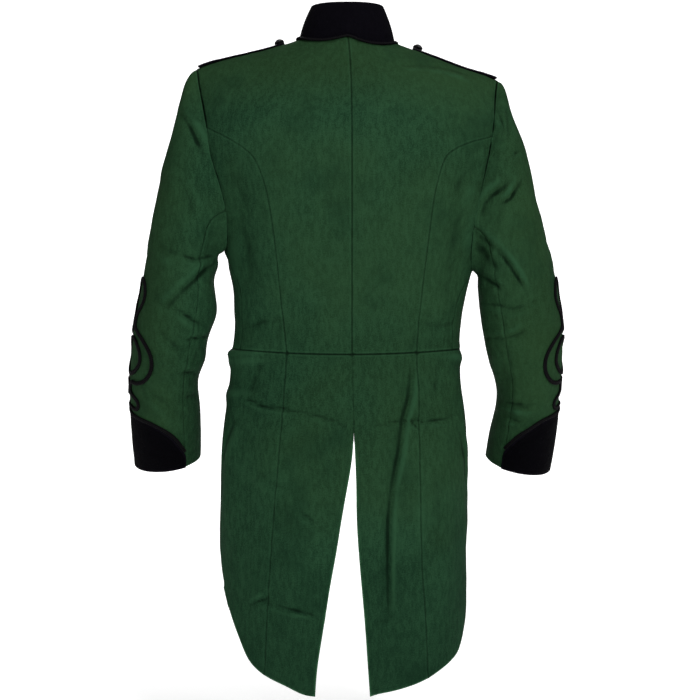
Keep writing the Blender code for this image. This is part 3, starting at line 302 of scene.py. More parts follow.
shell = {
    "turnLimit": math.radians(38.0),  # sharper than this is a piece's rim
    "cornerTurn": math.radians(38.0),
    "mergeDistance": 2e-5,
    "pairPulls": (1.0, 1.2, 1.4, 1.7, 2.0),
    "pairFace": math.radians(70.0),
    "pairShape": math.radians(80.0),
    "steps": 3,
    "thickness": 0.0011,
    "collarThickness": 0.0028,
    "cuffThickness": 0.0012,
    "strapThickness": 0.0026,
    "seamReach": 0.0016,  # rims as near as this are sewn together
    "seamClose": 0.00045,
    "seamSink": 0.0006,
    "seamValley": 0.0018,
    "sinkShare": (0.3, 0.7),  # share of it in any seam, and what the deepest seam adds
    "puckerShare": (0.4, 0.6),
    "pucker": 0.00025,
    "puckerPitch": 0.021,
    "puckerBand": (0.004, 0.006),  # how far from the seam, and how wide
    "puckerSway": (37.0, 2.0),
    "headEase": 0.0009,
    "headBand": (0.006, 0.005),
    "foldGain": 1.35,
    "cuffOver": 0.0016,  # height of a laid piece's outer side over the cloth below
    "strapOver": 0.0030,
    "cuffReach": 0.0016,  # how far a cuff's edge runs on under its cord
    "laidPlay": 0.0004,
    "dent": (0.0011, 0.055),  # height and width of the cloth's slack dents
    "smallDent": (0.00045, 0.021),
}
# middle of the arm: height, sideways, forward or back
armLine = (
    (-0.10, 0.222, 0.004),
    (-0.25, 0.232, 0.010),
    (-0.38, 0.255, 0.014),
    (-0.50, 0.277, -0.012),
    (-0.64, 0.279, -0.064),
)
shoulderFoot = -0.14


def armCentre(place):
    rows = armLine
    for (z0, x0, y0), (z1, x1, y1) in zip(rows, rows[1:]):
        if place.z >= z1 or (z1, x1, y1) == rows[-1]:
            t = min(max((place.z - z0) / (z1 - z0), 0.0), 1.0)
            side = 1.0 if place.x > 0 else -1.0
            return Vector((side * (x0 + (x1 - x0) * t), y0 + (y1 - y0) * t, place.z))


def outwardAt(node, place):
    # roughly the way out of the wearer, for telling a wall's two sides apart
    if "strap" in node:
        return Vector((0.0, 0.0, 1.0))
    if any(word in node for word in ("sleeve", "cuff")):
        return (place - armCentre(place)).normalized()
    return Vector((place.x, place.y, place.z - min(place.z, shoulderFoot))).normalized()


def mergedCopy(node):
    bm = bmesh.new()
    bm.from_mesh(nodes[node].data)
    bmesh.ops.remove_doubles(bm, verts=bm.verts, dist=shell["mergeDistance"])
    bm.verts.ensure_lookup_table()
    return bm


def treeOf(places):
    tree = KDTree(len(places))
    for index, place in enumerate(places):
        tree.insert(place, index)
    tree.balance()
    return tree


def facesByPairs(bm, node):
    # each point of a wall has a mate across it; neighbours agree on which of the two is outside
    tree = treeOf([vert.co for vert in bm.verts])
    across = [(vert.co - tree.find_n(vert.co, 2)[1][0]).normalized() for vert in bm.verts]
    first = max(bm.verts, key=lambda vert: across[vert.index].dot(outwardAt(node, vert.co)))
    outside = {}
    heap = [(0.0, first.index, True)]
    while heap:
        _, here, side = heapq.heappop(heap)
        if here in outside:
            continue
        outside[here] = side
        for edge in bm.verts[here].link_edges:
            other = edge.other_vert(bm.verts[here]).index
            if other not in outside:
                same = across[here].dot(across[other])
                heapq.heappush(heap, (-abs(same), other, side == (same > 0)))
    return {face for face in bm.faces if all(outside[vert.index] for vert in face.verts)}


def facesByTurn(bm, node):
    # parts the faces at sharp turns and keeps the island that faces outward most
    islands = []
    seen = set()
    for face in bm.faces:
        if face in seen:
            continue
        island = []
        queue = [face]
        seen.add(face)
        while queue:
            here = queue.pop()
            island.append(here)
            for edge in here.edges:
                if edge.calc_face_angle(0.0) < shell["turnLimit"]:
                    fresh = [other for other in edge.link_faces if other not in seen]
                    seen.update(fresh)
                    queue.extend(fresh)
        islands.append(island)

    def outwardArea(island):
        return sum(face.normal.dot(outwardAt(node, face.calc_center_median())) * face.calc_area()
                   for face in island)

    return set(max(islands, key=outwardArea))


def outerGrid(node):
    # the outer side of a node's wall as quads, taken from a merged copy
    bm = mergedCopy(node)
    for pick in (facesByPairs, facesByTurn):
        outer = pick(bm, node)
        rim = sum(len([face for face in edge.link_faces if face in outer]) == 1 for edge in bm.edges)
        if len(bm.faces) == 2 * len(outer) + 2 * rim:
            break
    else:
        print("outer side uncertain", node)
    bmesh.ops.delete(bm, geom=[face for face in bm.faces if face not in outer], context="FACES")
    # the pairing that leaves the fewest triangles wins
    tries = []
    for pull in shell["pairPulls"]:
        joined = bm.copy()
        bmesh.ops.join_triangles(joined, faces=joined.faces, angle_face_threshold=shell["pairFace"],
                                 angle_shape_threshold=shell["pairShape"], topology_influence=pull)
        tries.append((sum(len(face.verts) == 3 for face in joined.faces), -pull, joined))
    tries.sort(key=lambda row: row[:2])
    for _, _, spare in tries[1:]:
        spare.free()
    bm.free()
    return tries[0][2]


def meshOf(piece):
    depsgraph = bpy.context.evaluated_depsgraph_get()
    made = bpy.data.meshes.new_from_object(piece.evaluated_get(depsgraph))
    piece.modifiers.clear()
    piece.data = made
    return made


def unwrapped(piece):
    # lays the panel flat and puts its grain upright, in metres
    bpy.context.view_layer.objects.active = piece
    piece.select_set(True)
    bpy.ops.object.mode_set(mode="EDIT")
    bpy.ops.mesh.select_all(action="SELECT")
    bpy.ops.uv.unwrap(method="ANGLE_BASED", margin=0.0)
    bpy.ops.object.mode_set(mode="OBJECT")
    piece.select_set(False)
    mesh = piece.data
    layer = mesh.uv_layers.active
    layer.name = "cloth"
    count = len(mesh.loops)
    uv = np.zeros(count * 2)
    layer.data.foreach_get("uv", uv)
    uv = uv.reshape(-1, 2)
    owner = np.zeros(count, int)
    mesh.loops.foreach_get("vertex_index", owner)
    co = np.zeros(len(mesh.vertices) * 3)
    mesh.vertices.foreach_get("co", co)
    co = co.reshape(-1, 3)[owner]
    area = 0.0
    for face in mesh.polygons:
        ring = uv[list(face.loop_indices)]
        nextOne = np.roll(ring, -1, axis=0)
        area += abs((ring[:, 0] * nextOne[:, 1] - nextOne[:, 0] * ring[:, 1]).sum()) / 2
    size = sum(face.area for face in mesh.polygons)
    uv *= math.sqrt(size / area)
    flat = np.column_stack([uv, np.ones(count)])
    rise = np.linalg.lstsq(flat, co[:, 2], rcond=None)[0][:2]
    turn = math.atan2(rise[0], rise[1])
    c, s = math.cos(turn), math.sin(turn)
    uv = uv @ np.array([[c, s], [-s, c]])
    uv -= uv.min(axis=0)
    layer.data.foreach_set("uv", uv.ravel())
    return uv.max(axis=0), size


def keepCorners(bm):
    # marks the corners of the rim, so that smoothing leaves them where the neighbours meet them
    layer = bm.verts.layers.float.new("crease_vert")
    for vert in bm.verts:
        beside = [edge.other_vert(vert) for edge in vert.link_edges if edge.is_boundary]
        if len(beside) != 2:
            continue
        one, other = beside
        if (one.co - vert.co).angle(vert.co - other.co, 0.0) > shell["cornerTurn"]:
            vert[layer] = 1.0


def newPiece(name, bm):
    mesh = bpy.data.meshes.new(name)
    bm.to_mesh(mesh)
    bm.free()
    piece = bpy.data.objects.new(name, mesh)
    scene.collection.objects.link(piece)
    return piece


greenPieces = {
    "back_": "back",
    "side_back_": "sideBack",
    "front_": "front",
    "tail_back_": "tailBack",
    "tail_side_": "tailSide",
    "sleeve_upper_": "sleeveUpper",
    "sleeve_under_": "sleeveUnder",
}
clothNodes = {"collar": ("collarStand", shell["collarThickness"], blackCloth)}
for side in ("left", "right"):
    hand = side.capitalize()
    for node, name in greenPieces.items():
        clothNodes[node + side] = (name + hand, shell["thickness"], greenCloth)
    clothNodes["cuff_" + side] = ("cuff" + hand, shell["cuffThickness"], blackCloth)
    clothNodes["shoulder_strap_" + side] = ("strap" + hand, shell["strapThickness"], blackCloth)

panels = {}
for node, (name, thickness, finish) in clothNodes.items():
    bm = outerGrid(node)
    keepCorners(bm)
    piece = newPiece(name, bm)
    flatSize, flatArea = unwrapped(piece)
    grow = piece.modifiers.new("grow", "SUBSURF")
    grow.levels = grow.render_levels = shell["steps"]
    grow.boundary_smooth = "PRESERVE_CORNERS"
    grow.uv_smooth = "PRESERVE_BOUNDARIES"
    meshOf(piece)
    panels[node] = piece


def points(mesh, what="co"):
    flat = np.zeros(len(mesh.vertices) * 3)
    if what == "co":
        mesh.vertices.foreach_get("co", flat)
    else:
        mesh.vertex_normals.foreach_get("vector", flat)
    return flat.reshape(-1, 3)


def values(mesh, name):
    flat = np.zeros(len(mesh.vertices))
    mesh.attributes[name].data.foreach_get("value", flat)
    return flat


def addValues(mesh, name, flat):
    mesh.attributes.new(name, "FLOAT", "POINT").data.foreach_set("value", flat)


rims = {}
for node, piece in panels.items():
    bm = bmesh.new()
    bm.from_mesh(piece.data)
    line = {}
    for edge in bm.edges:
        if edge.is_boundary:
            for a, b in (tuple(edge.verts), tuple(reversed(edge.verts))):
                line.setdefault(a.index, []).append(b.index)
    start = min(line)
    order = [start]
    before = None
    while True:
        ahead = [v for v in line[order[-1]] if v != before]
        before = order[-1]
        if not ahead or ahead[0] == start or len(order) > len(line):
            break
        order.append(ahead[0])
    bm.verts.ensure_lookup_table()
    co = [bm.verts[v].co.copy() for v in order]
    outward = []
    for index, here in enumerate(order):
        faces = bm.verts[here].link_faces
        inside = sum((face.calc_center_median() for face in faces), Vector()) / len(faces)
        tangent = (co[(index + 1) % len(co)] - co[index - 1]).normalized()
        away = co[index] - inside
        outward.append((away - tangent * away.dot(tangent)).normalized())
    bm.free()
    rims[node] = (order, co, outward)

everyRim = treeOf([place for _, co, _ in rims.values() for place in co])
owners = [node for node, (_, co, _) in rims.items() for _ in co]
bodyCloth = [node for node in panels if not ("cuff" in node or "strap" in node)]
seamDepth = {
    "armhole": 1.0,
    "sleeve": 0.22,
    "waist": 0.95,
    "centre": 0.6,
    "tailCentre": 0.15,
    "collar": 1.0,
    "other": 0.42,
}


def seamKind(node, other):
    if "collar" in (node, other):
        return "collar"
    if ("sleeve" in node) != ("sleeve" in other):
        return "armhole"
    if "sleeve" in node:
        return "sleeve"
    if ("tail" in node) != ("tail" in other):
        return "waist"
    if node.rsplit("_", 1)[0] == other.rsplit("_", 1)[0]:
        return "tailCentre" if "tail" in node else "centre"
    return "other"


for node, piece in panels.items():
    co = rims[node][1]
    tree = treeOf(co)
    runAt = [0.0]
    for a, b in zip(co, co[1:]):
        runAt.append(runAt[-1] + (b - a).length)
    freeAt = []
    seamAt = []
    for place in co:
        near = [owners[index] for _, index, _ in everyRim.find_range(place, shell["seamReach"])]
        other = [owner for owner in near if owner != node and owner in bodyCloth]
        joined = bool(other) and node in bodyCloth
        freeAt.append(0.0 if joined else 1.0)
        seamAt.append(max(seamDepth[seamKind(node, owner)] for owner in other) if joined else 0.0)
    mesh = piece.data
    edge, run, free, seam = (np.zeros(len(mesh.vertices)) for _ in range(4))
    for vert in mesh.vertices:
        _, index, away = tree.find(vert.co)
        edge[vert.index] = away
        run[vert.index] = runAt[index]
        free[vert.index] = freeAt[index]
        seam[vert.index] = seamAt[index]
    for name, flat in (("edge", edge), ("run", run), ("free", free), ("seam", seam)):
        addValues(mesh, name, flat)
print("seams found")

# each fold: plane it is seen on, half width, trough, ridge (left of the line if positive, right if
# negative) and its line as (sideways, height), all in millimetres
folds = (
    # right tail: long soft fold from the waist to a small hook, and the ripple beside it
    ("back", 5, -3.4, 2.2, ((-63, -856), (-59, -849), (-58, -787), (-59, -706), (-64, -659), (-74, -609),
                            (-79, -568), (-88, -535), (-93, -489))),
    ("back", 5, -1.5, -0.6, ((-38, -863), (-50, -861), (-61, -859))),
    ("back", 14, -1.2, 0.8, ((-128, -600), (-132, -690), (-126, -790))),
    # storage creases across the seat
    ("back", 4, -2.2, 1.2, ((174, -526), (150, -539), (127, -548), (96, -552), (54, -559), (16, -570),
                            (3, -577))),
    ("back", 4, -2.0, 1.0, ((-39, -576), (-75, -570), (-104, -570), (-145, -568), (-161, -560))),
    ("back", 3, -1.8, 1.0, ((-82, -560), (-94, -573), (-108, -586))),
    ("back", 3, -1.4, -0.8, ((-96, -560), (-110, -572), (-122, -577))),
    # left tail
    ("back", 5, -1.4, 1.0, ((75, -695), (47, -716), (26, -733))),
    ("back", 7, -1.1, 0.8, ((134, -641), (114, -659), (91, -668))),
    ("back", 4, -2.0, -1.3, ((148, -844), (132, -834), (120, -830), (113, -820))),
    ("back", 4, -2.2, -1.5, ((37, -859), (60, -847), (80, -844), (99, -840), (123, -834))),
    ("back", 9, -1.5, 0.7, ((124, -468), (135, -498), (143, -528))),
    ("back", 8, -1.0, 0.6, ((-135, -475), (-131, -510), (-126, -542))),
    # the skirt's top standing out over each hip
    ("leftHip", 7, 4.0, 0.2, ((-70, -473), (10, -472), (75, -470))),
    ("leftHip", 8, 3.2, 0.2, ((-70, -485), (10, -484), (75, -482))),
    ("leftHip", 11, 2.6, 0.2, ((-60, -536), (10, -533), (70, -530))),
    ("rightHip", 9, 2.5, 0.2, ((-70, -478), (10, -478), (75, -474))),
    # body: drag from the armholes, hollow of the waist, pull across the shoulder
    ("back", 13, -1.8, 1.3, ((166, -256), (154, -292), (145, -336), (141, -392))),
    ("back", 13, -1.8, -1.3, ((-170, -246), (-162, -283), (-153, -336), (-147, -392))),
    ("back", 12, -1.3, 1.0, ((181, -200), (160, -231), (141, -267))),
    ("back", 10, -1.3, -1.0, ((-188, -184), (-167, -217), (-150, -255))),
    ("back", 8, -1.2, 0.6, ((159, -437), (127, -425), (91, -422))),
    ("back", 8, -1.2, -0.6, ((-162, -425), (-135, -431), (-106, -425))),
    ("back", 5, -1.0, 1.2, ((-74, -46), (-107, -43), (-142, -44), (-175, -52), (-200, -64))),
    # left sleeve: fold out of the sleeve head, long diagonal above the elbow, wrinkles in its bend
    ("back", 6, -3.4, -1.8, ((252, -110), (242, -124), (232, -139), (219, -163), (212, -182))),
    ("back", 6, -2.4, 1.8, ((191, -326), (206, -340), (227, -364), (252, -387), (266, -404))),
    ("back", 5, -2.4, 1.2, ((244, -327), (227, -332), (213, -330), (200, -324))),
    ("back", 9, -1.4, 0.9, ((281, -309), (263, -320), (244, -327))),
    ("back", 5, -2.2, 1.4, ((257, -403), (242, -413), (229, -423), (213, -431))),
    ("back", 4, -2.2, -1.4, ((243, -451), (221, -448), (204, -443))),
    ("back", 7, -1.4, 0.8, ((281, -436), (263, -454), (246, -470))),
    ("back", 5, -1.8, 1.2, ((221, -505), (234, -500), (252, -500))),
    ("back", 7, -1.4, 0.8, ((220, -529), (237, -537), (258, -535))),
    ("back", 9, -1.3, 0.9, ((296, -531), (274, -546), (248, -568))),
    ("back", 6, -1.2, -1.0, ((250, -210), (236, -236), (226, -268))),
    # right sleeve: small wrinkles at the head, two rising creases, the long fold to the elbow
    ("back", 3, -1.8, 1.0, ((-241, -179), (-250, -173), (-260, -166))),
    ("back", 4, -1.6, 1.0, ((-224, -109), (-228, -121), (-233, -133), (-228, -148))),
    ("back", 4, -1.3, -0.9, ((-237, -103), (-240, -124), (-239, -151))),
    ("back", 6, -2.8, -1.8, ((-198, -266), (-203, -249), (-214, -236), (-230, -226), (-238, -217))),
    ("back", 5, -3.0, -1.8, ((-215, -252), (-229, -248), (-241, -242), (-251, -227), (-260, -210))),
    ("back", 5, -2.8, 2.2, ((-266, -385), (-259, -373), (-239, -343), (-220, -318), (-203, -302),
                            (-189, -290))),
    ("back", 9, -2.2, 1.0, ((-223, -348), (-206, -327), (-190, -305))),
    ("back", 4, -2.2, -0.8, ((-188, -344), (-203, -358), (-221, -372), (-231, -386))),
    ("back", 3, -1.4, 0.9, ((-266, -394), (-275, -396), (-285, -391))),
    ("back", 5, -1.9, 1.0, ((-206, -398), (-222, -400), (-243, -406), (-261, -400))),
    ("back", 5, -1.6, -1.2, ((-206, -448), (-228, -449), (-249, -445), (-267, -433))),
    ("back", 5, -2.4, 1.6, ((-230, -544), (-243, -547), (-267, -552), (-282, -548))),
    ("back", 4, -2.2, 1.2, ((-236, -565), (-249, -570), (-266, -579))),
    ("back", 10, -1.5, 0.8, ((-236, -457), (-242, -487), (-241, -529))),
    # fronts: drag lines from the armholes, pulls between the buttons, hollow above the waist
    ("front", 8, -1.9, 1.3, ((158, -214), (128, -262), (112, -318))),
    ("front", 8, -1.8, -1.3, ((-161, -208), (-133, -250), (-118, -300))),
    ("front", 6, -1.5, 1.0, ((64, -262), (38, -276), (12, -280))),
    ("front", 5, -1.4, 0.9, ((-14, -343), (-42, -352), (-78, -346))),
    ("front", 6, -1.4, -0.9, ((14, -398), (52, -410), (96, -404))),
    ("front", 6, -1.6, 0.9, ((-20, -436), (-66, -446), (-118, -436))),
    ("front", 7, -1.3, 0.9, ((120, -120), (96, -150), (70, -166))),
    ("front", 9, -1.5, 1.0, ((140, -520), (150, -600), (152, -680))),
    ("front", 9, -1.4, -1.0, ((-138, -516), (-150, -590), (-149, -660))),
    ("front", 6, -2.6, 1.6, ((224, -232), (240, -262), (258, -284))),
    ("front", 6, -2.4, -1.6, ((-222, -226), (-238, -258), (-258, -276))),
    ("front", 5, -2.4, 1.4, ((298, -430), (276, -444), (252, -448))),
    ("front", 6, -1.9, 1.2, ((294, -474), (272, -482), (250, -478))),
    ("front", 5, -2.4, -1.4, ((-296, -424), (-274, -440), (-250, -443))),
    ("front", 6, -1.7, -1.1, ((-292, -466), (-268, -478), (-244, -474))),
    # sides of the sleeves and tails, as the wearer's left and right show them
    ("left", 10, -0.8, 0.5, ((-30, -170), (-6, -205), (22, -225))),
    ("left", 7, -1.6, -1.1, ((40, -300), (12, -330), (-18, -345))),
    ("leftHip", 9, -1.8, 1.2, ((60, -560), (30, -620), (22, -700))),
    ("right", 10, -0.8, -0.5, ((-28, -180), (-4, -214), (20, -240))),
    ("right", 7, -1.6, 1.1, ((38, -290), (8, -322), (-20, -334))),
    ("rightHip", 9, -1.8, -1.2, ((58, -570), (30, -630), (20, -706))),
)
# sideways axis, axis looked along, its sign, and how far out in X the plane reaches
planes = {
    "back": (0, 1, 1.0, 1.0),
    "front": (0, 1, -1.0, 1.0),
    "left": (1, 0, 1.0, 1.0),
    "right": (1, 0, -1.0, 1.0),
    "leftHip": (1, 0, 1.0, 0.2),
    "rightHip": (1, 0, -1.0, 0.2),
}
foldShape = {
    "sight": (0.05, 0.35),  # how a fold gives out where the cloth turns away
    "uneven": ((0.25, 9.0, 1.7), (0.15, 23.0, 1.0)),
    "fade": (0.06, 0.88, 0.7),
    "widening": (0.8, 0.4),
    "crest": (1.9, 1.5),  # how far off the line, and how wide, in the fold's own widths
    # how strongly a fold paints shade into its trough and a highlight onto its crest
    "markTrough": 0.6,
    "markCrest": (1.7, 0.9),
    "markDepth": 2.6,  # millimetres of trough or ridge that mark the cloth in full
    "markHeight": 2.4,
    "markWidth": 8.0,
}


def bell(value, middle, width):
    return np.exp(-((value - middle) / width) ** 2)


def foldPush(co, normal):
    push = np.zeros(len(co))
    hollow = np.zeros(len(co))
    for number, (plane, width, trough, ridge, line) in enumerate(folds):
        side, facing, sign, reach = planes[plane]
        past, over = foldShape["sight"]
        sight = np.clip((normal[:, facing] * sign + past) / over, 0.0, 1.0) * (np.abs(co[:, 0]) < reach)
        flat = co[:, (side, 2)] * 1000.0
        corner = np.array(line, float)
        lengths = np.linalg.norm(np.diff(corner, axis=0), axis=1)
        whole = lengths.sum()
        nearest = np.full(len(co), np.inf)
        signed = np.full(len(co), np.inf)
        share = np.zeros(len(co))
        begin = 0.0
        for a, b, length in zip(corner, corner[1:], lengths):
            t = np.clip(((flat - a) @ (b - a)) / length ** 2, 0.0, 1.0)
            offset = flat - a - t[:, None] * (b - a)
            away = np.linalg.norm(offset, axis=1)
            turned = (b[0] - a[0]) * offset[:, 1] - (b[1] - a[1]) * offset[:, 0]
            closer = away < nearest
            nearest = np.where(closer, away, nearest)
            signed = np.where(closer, np.where(turned < 0, -away, away), signed)
            share = np.where(closer, (begin + t * length) / whole, share)
            begin += length
        uneven = 1.0 + sum(part * np.sin(share * pace + number * shift)
                           for part, pace, shift in foldShape["uneven"])
        start, rest, power = foldShape["fade"]
        fade = np.clip(np.sin(np.pi * (start + rest * share)), 0.0, 1.0) ** power
        strength = fade * uneven * sight
        narrow, widening = foldShape["widening"]
        wide = width * (narrow + widening * share)
        lean = math.copysign(1.0, ridge)
        valley = bell(signed, 0.0, wide)
        off, spread = foldShape["crest"]
        crest = bell(signed * lean, off * wide, spread * wide)
        push += strength * (trough * valley + abs(ridge) * crest) / 1000.0
        # the mark gives the cloth's colour painted shade where it lies in a trough (up to 1) and a painted
        # highlight where it stands up (down to -1)
        sharp = bell(signed, 0.0, foldShape["markTrough"] * wide)
        off, spread = foldShape["markCrest"]
        top = bell(signed * lean, off * wide, spread * wide)
        depth = min(1.0, -trough / foldShape["markDepth"]) * min(1.0, foldShape["markWidth"] / width)
        mark = strength * (sharp * depth - top * min(1.0, abs(ridge) / foldShape["markHeight"]))
        hollow = np.where(np.abs(mark) > np.abs(hollow), mark, hollow)
    return push * shell["foldGain"], hollow


def surfacePush(co, normal):
    push, hollow = foldPush(co, normal)
    for height, width in (shell["dent"], shell["smallDent"]):
        push += height * np.array([noise.noise(Vector(place) / width) for place in co])
    return push, hollow


def surfaceOf(*names):
    places = []
    faces = []
    for node in names:
        mesh = panels[node].data
        first = len(places)
        places.extend(Vector(place) for place in points(mesh))
        faces.extend([first + index for index in face.vertices] for face in mesh.polygons)
    return BVHTree.FromPolygons(places, faces)


def sleeveOf(side):
    return surfaceOf("sleeve_upper_" + side, "sleeve_under_" + side)


def laidOn(co, normal, surface, height):
    # moves each point along its own normal until it stands this high over the cloth below
    push = np.zeros(len(co))
    for index, place in enumerate(co):
        below, up, _, _ = surface.find_nearest(Vector(place))
        push[index] = height - (Vector(place) - below).dot(up)
    usual = np.median(push)
    return co + normal * np.clip(push, usual - shell["laidPlay"], usual + shell["laidPlay"])[:, None]


for node, piece in panels.items():
    mesh = piece.data
    co = points(mesh)
    normal = points(mesh, "normal")
    edge, run, free, seam = (values(mesh, name) for name in ("edge", "run", "free", "seam"))
    hollow = np.zeros(len(co))
    side = node.split("_")[-1]
    order, _, outward = rims[node]
    if "cuff" in node:
        co = laidOn(co, normal, sleeveOf(side), shell["cuffOver"])
        co[order] += np.array(outward) * shell["cuffReach"]
    elif "strap" in node:
        below = surfaceOf("back_" + side, "front_" + side, "sleeve_upper_" + side)
        co = laidOn(co, normal, below, shell["strapOver"])
    elif node != "collar":
        push, hollow = surfacePush(co, normal)
        sewn = 1 - free
        least, more = shell["sinkShare"]
        push -= shell["seamSink"] * (bell(edge, 0.0, shell["seamValley"]) * sewn) * (least + more * seam)
        least, more = shell["puckerShare"]
        beside = bell(edge, *shell["puckerBand"]) * (least + more * seam) * sewn
        pace, sway = shell["puckerSway"]
        wave = np.sin(run * 2 * np.pi / shell["puckerPitch"] + np.sin(run * pace) * sway)
        push += shell["pucker"] * beside * wave
        if "sleeve" in node:
            push += shell["headEase"] * bell(edge, *shell["headBand"]) * sewn
        co = co + normal * push[:, None]
        co[order] += np.array(outward) * sewn[order][:, None] * shell["seamClose"]
    mesh.vertices.foreach_set("co", co.ravel())
    addValues(mesh, "hollow", hollow)
    mesh.update()
print("folds laid")


def dressed(piece, node, slot, finish):
    piece.data.shade_smooth()
    piece.data.materials.clear()
    piece.data.materials.append(finish)
    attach(piece, "root")
    if node:
        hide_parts(node)


# seam allowances and turned-up hems on the inside, as strips along each panel's rim
turning = {
    "seam": 0.012,
    "hem": 0.020,
    "rows": 4,
    "cloth": 0.0006,
    "lift": 0.0005,
    "smoothing": 5,
    "unit": (0.0025, 0.005),  # flat size of one face, for the twill
    "edge": 0.01,  # counts as this far from any edge, so no seam or stitch is marked on it
}


def turnings(node):
    piece = panels[node]
    mesh = piece.data
    co = points(mesh)
    surface = surfaceOf(node)
    order, _, outward = rims[node]
    away = np.array(outward)
    for _ in range(turning["smoothing"]):
        away = (np.roll(away, 1, axis=0) + away + np.roll(away, -1, axis=0)) / 3
    free = values(mesh, "free")[order]
    bm = bmesh.new()
    rings = []
    for row in range(turning["rows"]):
        share = row / (turning["rows"] - 1)
        ring = []
        for index, here in enumerate(order):
            width = turning["seam"] + (turning["hem"] - turning["seam"]) * free[index]
            place, normal, _, _ = surface.find_nearest(Vector(co[here] - away[index] * width * share))
            ring.append(bm.verts.new(place - normal * (shell["thickness"] + turning["lift"])))
        rings.append(ring)
    count = len(order)
    for ring, inner in zip(rings, rings[1:]):
        for index in range(count):
            beside = (index + 1) % count
            bm.faces.new((ring[index], ring[beside], inner[beside], inner[index]))
    bmesh.ops.recalc_face_normals(bm, faces=bm.faces)
    strip = newPiece(piece.name + "Turnings", bm)
    layer = strip.data.uv_layers.new(name="cloth")
    wide, high = turning["unit"]
    for loop in strip.data.loops:
        down, along = divmod(loop.vertex_index, count)
        layer.data[loop.index].uv = (along * wide, down * high)
    for name in ("edge", "run", "free", "seam", "hollow"):
        far = turning["edge"] if name == "edge" else 0.0
        addValues(strip.data, name, np.full(count * turning["rows"], far))
    wall = strip.modifiers.new("wall", "SOLIDIFY")
    wall.thickness = turning["cloth"]
    wall.offset = 0.0
    meshOf(strip)
    dressed(strip, None, "green_drill", greenCloth)
    return strip


sleeveSurface = {side: sleeveOf(side) for side in ("left", "right")}
strips = {node: turnings(node) for node in panels if node in bodyCloth and node != "collar"}
for node, piece in panels.items():
    name, thickness, finish = clothNodes[node]
    wall = piece.modifiers.new("wall", "SOLIDIFY")
    wall.thickness = thickness
    wall.offset = -1.0
    wall.use_even_offset = False
    meshOf(piece)
    dressed(piece, node, "black_drill" if finish == blackCloth else "green_drill", finish)


def sheet(node, held, *under):
    laid = [strips[node]] if node in strips else []


sheet("collar", "stretched", "back_left", "back_right", "front_left", "front_right")
for side, other in (("left", "right"), ("right", "left")):
    sheet("back_" + side, "hung", "back_" + other, "side_back_" + side)
    sheet("side_back_" + side, "hung", "back_" + side, "front_" + side)
    sheet("front_" + side, "hung", "side_back_" + side, "back_" + side)
    sheet("tail_back_" + side, "hung", "back_" + side, "tail_side_" + side)
    sheet("tail_side_" + side, "hung", "front_" + side, "side_back_" + side)
    sheet("sleeve_upper_" + side, "hung", "back_" + side, "front_" + side)
    sheet("sleeve_under_" + side, "hung", "sleeve_upper_" + side, "side_back_" + side)
    sheet("cuff_" + side, "laid", "sleeve_upper_" + side, "sleeve_under_" + side)
    sheet("shoulder_strap_" + side, "laid", "back_" + side, "front_" + side)
print("cloth shaped")

# flat plaited cord of three strands along the middle line of each cord node
plait = {
    "strands": 3,
    "pitch": 0.0095,
    "stepsPerPitch": 12,
    "curveSteps": 16,
    "sink": 0.0007,
    "sinkOnSleeve": 0.00021,
    "sides": 6,  # points round the solid cord
    "reach": 5,
    "endReach": 4,
    "fewestSteps": 8,
    "smoothing": 3,
}
# name, swing of a strand to each side, height of its weave, its radius
cordKinds = {
    "collar_cord": ("collarCord", 0.00165, 0.00055, 0.00125),
    "cuff_cord_": ("cuffCord", 0.00175, 0.00060, 0.00130),
    "sleeve_knot_": ("sleeveKnot", 0.00200, 0.00050, 0.00140),
    "sleeve_leaf_": ("sleeveLeaf", 0.00200, 0.00050, 0.00140),
}


def roundCurve(name, radius):
    curve = bpy.data.curves.new(name, "CURVE")
    curve.dimensions = "3D"
    curve.bevel_depth = radius
    curve.bevel_resolution = 1
    return curve


def addLine(curve, path, closed):
    spline = curve.splines.new("POLY")
    spline.points.add(len(path) - 1)
    spline.points.foreach_set("co", np.column_stack([path, np.ones(len(path))]).ravel())
    spline.use_cyclic_u = closed


def fromCurve(name, curve):
    holder = bpy.data.objects.new(name + "Curve", curve)
    scene.collection.objects.link(holder)
    depsgraph = bpy.context.evaluated_depsgraph_get()
    made = bpy.data.objects.new(name, bpy.data.meshes.new_from_object(holder.evaluated_get(depsgraph)))
    bpy.data.objects.remove(holder)
    scene.collection.objects.link(made)
    return made


def layersFrom(start):
    layers = [list(start)]
    seen = set(start)
    while layers[-1]:
        reach = []
        for vert in layers[-1]:
            for edge in vert.link_edges:
                other = edge.other_vert(vert)
                if other not in seen:
                    seen.add(other)
                    reach.append(other)
        layers.append(reach)
    return layers[:-1]


def ringIn(bm):
    # one whole ring of the tube: its points lie in a plane square to the way the tube runs
    for vert in bm.verts:
        near = [other for layer in layersFrom([vert])[:plait["reach"]] for other in layer]
        spread = np.array([tuple(other.co) for other in near])
        spread -= spread.mean(axis=0)
        run = Vector(np.linalg.eigh(spread.T @ spread)[1][:, 2])
        near.sort(key=lambda other: abs((other.co - vert.co).dot(run)))
        ring = near[:plait["sides"]]
        if all(sum(edge.other_vert(here) in ring for edge in here.link_edges) == 2 for here in ring):
            return ring


def middleOf(layer):
    return sum((vert.co for vert in layer), Vector()) / len(layer)


